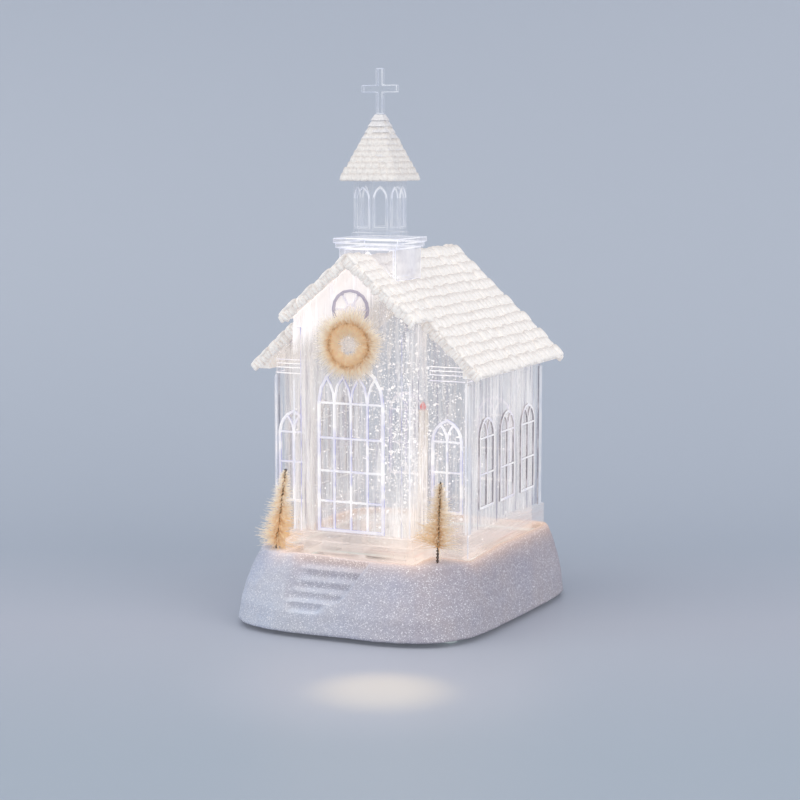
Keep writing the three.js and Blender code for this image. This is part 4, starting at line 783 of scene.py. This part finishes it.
# Water: clear liquid up to the eaves of the gables, with silver glitter that swirls in it and hangs
# thickest in front of the middle, to the right of the door.
# Painted light: the water glows faintly, warmer over the lamp
liquid, liquid_tree, liquid_surface = new_material(
    "water", Roughness=0.03, IOR=1.33, Base_Color=paint(212, 204, 196), Emission_Strength=0.25
)
liquid_at = (add_node(liquid_tree, "ShaderNodeTexCoord"), "Object")
liquid_noise = add_node(liquid_tree, "ShaderNodeTexNoise", Scale=60.0, Detail=2.0, Vector=liquid_at)
liquid_lamp = placed(liquid_tree, beam, 0.03)
liquid_cover = remap(liquid_noise, 0, 0.3, 0.7, 0.06, 0.22)
wire(add_up(liquid_lamp, "Light", 0.25, liquid_cover), 0, liquid_surface, "Alpha")
liquid_glow = tint(liquid_lamp, "Light", paint(204, 198, 194), paint(255, 240, 214))
wire(liquid_glow, 2, liquid_surface, "Emission Color")
dress(liquid, "water")

glitter_rng = random.Random(7)
flakes = bmesh.new()

# The flakes leave the flame in sight
flame_middle = Vector((0.0107, 0.005, 0.1035))
flame_sight = (flame_window - flame_middle).normalized()


def in_tank(point):
    x, y, z = point
    beyond = Vector(point) - flame_middle
    ahead = beyond.dot(flame_sight)
    if ahead > 0 and (beyond - flame_sight * ahead).length < 0.0026:
        return False
    if not 0.039 < z < 0.159 or z > 0.172 - abs(x) * 0.9:
        return False
    return (abs(x) < 0.0465 and -0.0305 < y < 0.0595) or (abs(x) < 0.0265 and -0.0505 < y < 0.01)


any_turn = 6.28


def flake(point, size):
    spin = Matrix.Rotation(glitter_rng.uniform(0, any_turn), 3, "X")
    spin = Matrix.Rotation(glitter_rng.uniform(0, any_turn), 3, "Z") @ spin
    corners = [
        flakes.verts.new(Vector(point) + spin @ Vector((math.cos(a), math.sin(a), 0)) * size)
        for a in (0, 1.2566, 2.5133, 3.7699, 5.0265)
    ]
    flakes.faces.new(corners)


# The middle and the spread of the swarm that half of the flakes belong to
swarm = ((0.024, -0.036, 0.100), (0.012, 0.013, 0.038))
flake_count = 6400
count = 0
while count < flake_count:
    if count % 10 < 5:
        point = tuple(glitter_rng.gauss(m, s) for m, s in zip(*swarm))
    else:
        point = (
            glitter_rng.uniform(-0.047, 0.047),
            glitter_rng.uniform(-0.051, 0.060),
            glitter_rng.uniform(0.039, 0.159),
        )
    if in_tank(point):
        big = count % 20 == 0
        flake(point, glitter_rng.uniform(0.0006, 0.0010) if big else glitter_rng.uniform(0.0002, 0.0005))
        count += 1
flake_mesh = bpy.data.meshes.new("water_glitter")
flakes.to_mesh(flake_mesh)
flakes.free()
glitter = bpy.data.objects.new("water_glitter", flake_mesh)
scene.collection.objects.link(glitter)
# Painted light: the flakes glow in their own tone
silver = spotted(
    "silver glitter", 300.0, paint(196, 194, 198), paint(255, 253, 250),
    Roughness=0.25, Metallic=0.5, Emission_Strength=0.7,
)
glitter.data.materials.append(silver)
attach(glitter, "base")

# Candle: a slim cream candle with a red flame, moulded in plastic, standing in the water.
# The flame shows as a red spot through the side wall of the bay.
wax = spotted("cream wax", 120.0, paint(228, 214, 190), paint(244, 234, 214), Roughness=0.4)
dress(wax, "candle")
# Painted light: the plastic flame glows red
flame = spotted(
    "red flame", 260.0, paint(188, 6, 5), paint(212, 18, 14), Roughness=0.4, Emission_Strength=0.5
)
dress(flame, "candle_flame")

# Brush trees: thousands of stiff natural bristles caught between two dark wires twisted together.
# The bare end of the wire stands in a hole in the snow, and the bristles shorten towards the top.
# Painted light: the bristles glow in their own colour
bristle_stuff, bristle_tree, bristle_surface = new_material(
    "golden bristle", Roughness=0.75, Specular_IOR_Level=0.25, Emission_Strength=0.27
)
bristle_along = add_node(bristle_tree, "ShaderNodeAttribute", {"attribute_name": "along"})
bristle_ramp = add_node(bristle_tree, "ShaderNodeValToRGB", in0=(bristle_along, "Fac"))
bristle_ramp.color_ramp.elements[0].color = paint(228, 193, 147)
bristle_ramp.color_ramp.elements[1].color = paint(252, 246, 236)
bristle_ramp.color_ramp.elements.new(0.35).color = paint(243, 230, 207)
bristle_spots = placed(bristle_tree, grain, 420.0)
bristle_tone = tint(bristle_spots, "Tone", paint(205, 190, 170), paint(255, 250, 240))
# Painted light: near the lit plinth the bristles are tinted warm
bristle_light = placed(bristle_tree, halo, 0.03)
bristle_painted_warmth = tint(bristle_light, "Light", paint(255, 255, 255), paint(255, 226, 178))
# Painted shade: inside the ring of the wreath the bristles crowd together and are made darker
wreath_middle = Vector((0.0013, -0.0608, 0.1390))
bristle_at = (add_node(bristle_tree, "ShaderNodeTexCoord"), "Object")
bristle_ring = vectors(bristle_tree, "DISTANCE", bristle_at, wreath_middle)
bristle_outer = remap(bristle_ring, "Value", 0.0095, 0.0125)
bristle_painted_crowd_shade = tint(bristle_outer, 0, paint(252, 240, 222), paint(255, 255, 255))
# Painted light: the tree at the left stands in cooler and brighter light than the one at the right
bristle_across = add_node(bristle_tree, "ShaderNodeSeparateXYZ", in0=bristle_at)
bristle_end = remap(bristle_across, "X", -0.02, 0.03)
bristle_painted_side_light = tint(bristle_end, 0, (1.04, 1.06, 1.12, 1), (0.93, 0.915, 0.93, 1))
bristle_seen = multiply((bristle_ramp, "Color"), (bristle_tone, 2), 0.6)
for painted_light in (bristle_painted_warmth, bristle_painted_crowd_shade, bristle_painted_side_light):
    bristle_seen = multiply((bristle_seen, 2), (painted_light, 2))
coat(bristle_surface, bristle_seen)

dark_wire = spotted(
    "dark wire", 500.0, paint(58, 46, 40), paint(98, 82, 72), Roughness=0.45, Metallic=0.6
)
ring_finish = spotted(
    "ring wire", 420.0, paint(86, 62, 44), paint(226, 196, 156), Roughness=0.6, Metallic=0.2
)


def bristle_pattern():
    """A three-sided bristle, a metre long and a metre wide, that points up Z."""
    bpy.ops.object.select_all(action="DESELECT")
    bpy.ops.mesh.primitive_cone_add(vertices=3, radius1=1.0, radius2=0.35, depth=1.0, location=(0, 0, 0.5))
    made = bpy.context.object
    bpy.ops.object.transform_apply(location=True, rotation=True, scale=True)
    return made


def bristles(places, name):
    pattern = bristle_pattern()
    share = [v.co.z for v in pattern.data.vertices]
    piece = lay(pattern, places, name, share)
    piece.data.materials.append(bristle_stuff)
    return piece


def bristle_place(root, way, length, width, swing):
    aim = Vector(way).normalized()
    turn = aim.to_track_quat("Z", "Y").to_matrix().to_4x4()
    size = Matrix.Diagonal((width, width, length, 1))
    return Matrix.Translation(root) @ turn @ Matrix.Rotation(swing, 4, "Z") @ size


def twisted_wire(height, radius, turns, name, finish):
    """Two strands wound round each other up Z from the origin."""
    strands = []
    for start in (0, math.pi):
        bpy.ops.object.select_all(action="DESELECT")
        bpy.ops.mesh.primitive_circle_add(vertices=6, radius=radius, fill_type="NOTHING")
        strand = bpy.context.object
        middle = Matrix.Translation((radius, 0, 0))
        strand.data.transform(Matrix.Rotation(start, 4, "Z") @ middle @ Matrix.Rotation(math.pi / 2, 4, "X"))
        modify(
            strand, "SCREW", angle=turns * 2 * math.pi, screw_offset=height, steps=int(10 * turns),
            render_steps=int(10 * turns), axis="Z",
        )
        strands.append(strand)
    bpy.ops.object.select_all(action="DESELECT")
    for strand in strands:
        strand.select_set(True)
    bpy.context.view_layer.objects.active = strands[0]
    bpy.ops.object.join()
    piece = strands[0]
    piece.name = name
    bpy.ops.object.mode_set(mode="EDIT")
    bpy.ops.mesh.select_all(action="SELECT")
    bpy.ops.mesh.fill_holes(sides=0)
    bpy.ops.mesh.select_all(action="SELECT")
    bpy.ops.mesh.normals_make_consistent(inside=False)
    bpy.ops.object.mode_set(mode="OBJECT")
    bpy.ops.object.shade_smooth_by_angle(angle=math.radians(60))
    piece.data.materials.append(finish)
    return piece


stem_sunk = 0.0045
twist_pitch = 0.0032


def brush_tree(side, foot, lean, bare, height, radius, lift, count, seed):
    tree_rng = random.Random(seed)
    stand = Matrix.Translation(foot) @ Matrix.Rotation(lean, 4, "Y")
    places = []
    for strand in range(count):
        share = (strand + tree_rng.random()) / count
        rise = bare + 0.0006 + (height - bare - 0.0012) * share
        round_way = tree_rng.uniform(0, 2 * math.pi)
        layer = 0.86 + 0.14 * math.sin(rise * 900)
        length = (radius * (1 - share) ** 0.9 + 0.0018) * layer * tree_rng.uniform(0.6, 1.12)
        way = (math.cos(round_way), math.sin(round_way), tree_rng.gauss(lift, 0.22))
        root = (0.0003 * math.cos(round_way), 0.0003 * math.sin(round_way), rise)
        width = tree_rng.uniform(0.00012, 0.00020)
        places.append(stand @ bristle_place(root, way, length, width, tree_rng.uniform(0, any_turn)))
    brush = bristles(places, f"tree_{side}_brush")
    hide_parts(f"tree_{side}")
    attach(brush, "base")
    stem_length = height + stem_sunk
    stem = twisted_wire(stem_length, 0.00036, stem_length / twist_pitch, f"tree_{side}_wire", dark_wire)
    stem.data.transform(stand @ Matrix.Translation((0, 0, -stem_sunk)))
    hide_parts(f"tree_{side}_stem")
    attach(stem, "base")


brush_tree(
    "left", (-0.044, -0.050, 0.035), lean=0.14, bare=0.0022, height=0.041, radius=0.0112,
    lift=0.02, count=1500, seed=3,
)
brush_tree(
    "right", (0.0426, -0.050, 0.035), lean=0.04, bare=0.008, height=0.040, radius=0.0122,
    lift=0.18, count=1000, seed=5,
)

# Wreath: the same golden bristle on a ring of twisted wire, hung on the front wall over the door.
# The bristles fill it all round and leave a small hole in the middle.
wreath_radius = 0.0104
wreath_count = 5200
wreath_rng = random.Random(11)
wreath_places = []
for strand in range(wreath_count):
    round_way = wreath_rng.uniform(0, 2 * math.pi)
    spoke = Vector((math.cos(round_way), 0, math.sin(round_way)))
    if strand % 3 == 0:
        tilt = wreath_rng.uniform(0, 2 * math.pi)
    else:
        tilt = wreath_rng.choice((0, math.pi)) + wreath_rng.gauss(0, 0.5)
    outward, forward = math.cos(tilt), math.sin(tilt)
    tuft = 1 + 0.13 * math.sin(5 * round_way + 1) + 0.1 * math.sin(11 * round_way)
    reach = 0.0088 * tuft if outward > 0 else 0.0070
    depth = 0.0044 if forward > 0 else 0.0040
    length = 1 / math.sqrt((outward / reach) ** 2 + (forward / depth) ** 2)
    way = spoke * outward + Vector((0, -forward, 0))
    way += Vector((-spoke.z, 0, spoke.x)) * wreath_rng.gauss(0, 0.18)
    root = wreath_middle + spoke * (wreath_radius + wreath_rng.uniform(-0.0007, 0.0007))
    width = wreath_rng.uniform(0.00010, 0.00016)
    length *= wreath_rng.uniform(0.6, 1.0)
    wreath_places.append(bristle_place(root, way, length, width, wreath_rng.uniform(0, any_turn)))
wreath_brush = bristles(wreath_places, "wreath_brush")
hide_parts("wreath")
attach(wreath_brush, "base")

wreath_turns = 22
ring_wire = twisted_wire(2 * math.pi * wreath_radius, 0.00024, wreath_turns, "wreath_wire", ring_finish)
for vertex in ring_wire.data.vertices:
    round_way = vertex.co.z / wreath_radius
    spoke = Vector((math.cos(round_way), 0, math.sin(round_way)))
    vertex.co = wreath_middle + spoke * (wreath_radius + vertex.co.x) + Vector((0, vertex.co.y, 0))
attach(ring_wire, "base")

# Feet, gasket and bung: the feet and the gasket are soft translucent rubber with a faint painted glow.
# The bung in the tank floor has the same pale plastic look as the belfry.
soft_rubber = spotted(
    "soft rubber", 240.0, paint(206, 220, 218), paint(226, 236, 234),
    Roughness=0.55, Alpha=0.85, Emission_Strength=0.2,
)
dress(soft_rubber, "foot_1", "foot_2", "foot_3", "foot_4", "tank_gasket")
dress(pale, "fill_bung")

# Works in the base: moulded plate and door, motor and magnets, cells, contacts, lamps and leads.
# They are plain finishes, but for the painted glow of the white moulding, and only the plate, its screws and
# the switch show from below.


def moulded(name, dark, light, roughness, metallic=0.0, size=300.0):
    return spotted(name, size, dark, light, relief=0.3, Roughness=roughness, Metallic=metallic)


white_moulding = moulded("white moulding", paint(222, 222, 220), paint(234, 234, 232), 0.5)
# Painted light: the white moulding glows faintly
white_surface = white_moulding.node_tree.nodes["Principled BSDF"]
white_surface.inputs["Emission Color"].default_value = paint(184, 182, 184)
white_surface.inputs["Emission Strength"].default_value = 0.2
dress(white_moulding, "bottom_plate", "battery_door", "stirrer")
dress(
    moulded("black moulding", paint(28, 29, 31), paint(42, 43, 46), 0.5),
    "magnet_hub", "timer_chip", "switch_slider",
)
dress(
    moulded("plain steel", paint(150, 153, 158), paint(190, 193, 198), 0.35, metallic=1.0, size=600.0),
    "stirrer_magnet_1", "stirrer_magnet_2", "stirrer_pin", "motor", "motor_bracket", "motor_screw_1",
    "motor_screw_2", "base_screw_1", "base_screw_2", "base_screw_3", "base_screw_4", "drive_shaft",
    "drive_magnet_1", "drive_magnet_2", "switch_body", "contact_positive", "contact_negative",
    "contact_link_left", "contact_link_right", "contact_spring_1", "contact_spring_2", "contact_spring_3",
)
dress(
    moulded("cell wrapper", paint(120, 124, 130), paint(146, 150, 156), 0.35, metallic=0.4),
    "battery_1", "battery_2", "battery_3",
)
dress(moulded("green board", paint(38, 92, 62), paint(52, 112, 78), 0.6), "light_board")
dress(
    moulded("red insulation", paint(150, 30, 30), paint(182, 44, 42), 0.5),
    "lead_battery", "lead_switch", "lead_motor",
)
lamp_lens = spotted(
    "lamp lens", 200.0, paint(255, 226, 170), paint(255, 242, 214),
    Roughness=0.1, Alpha=0.7, Emission_Strength=1.0,
)
dress(lamp_lens, "led_1", "led_2")
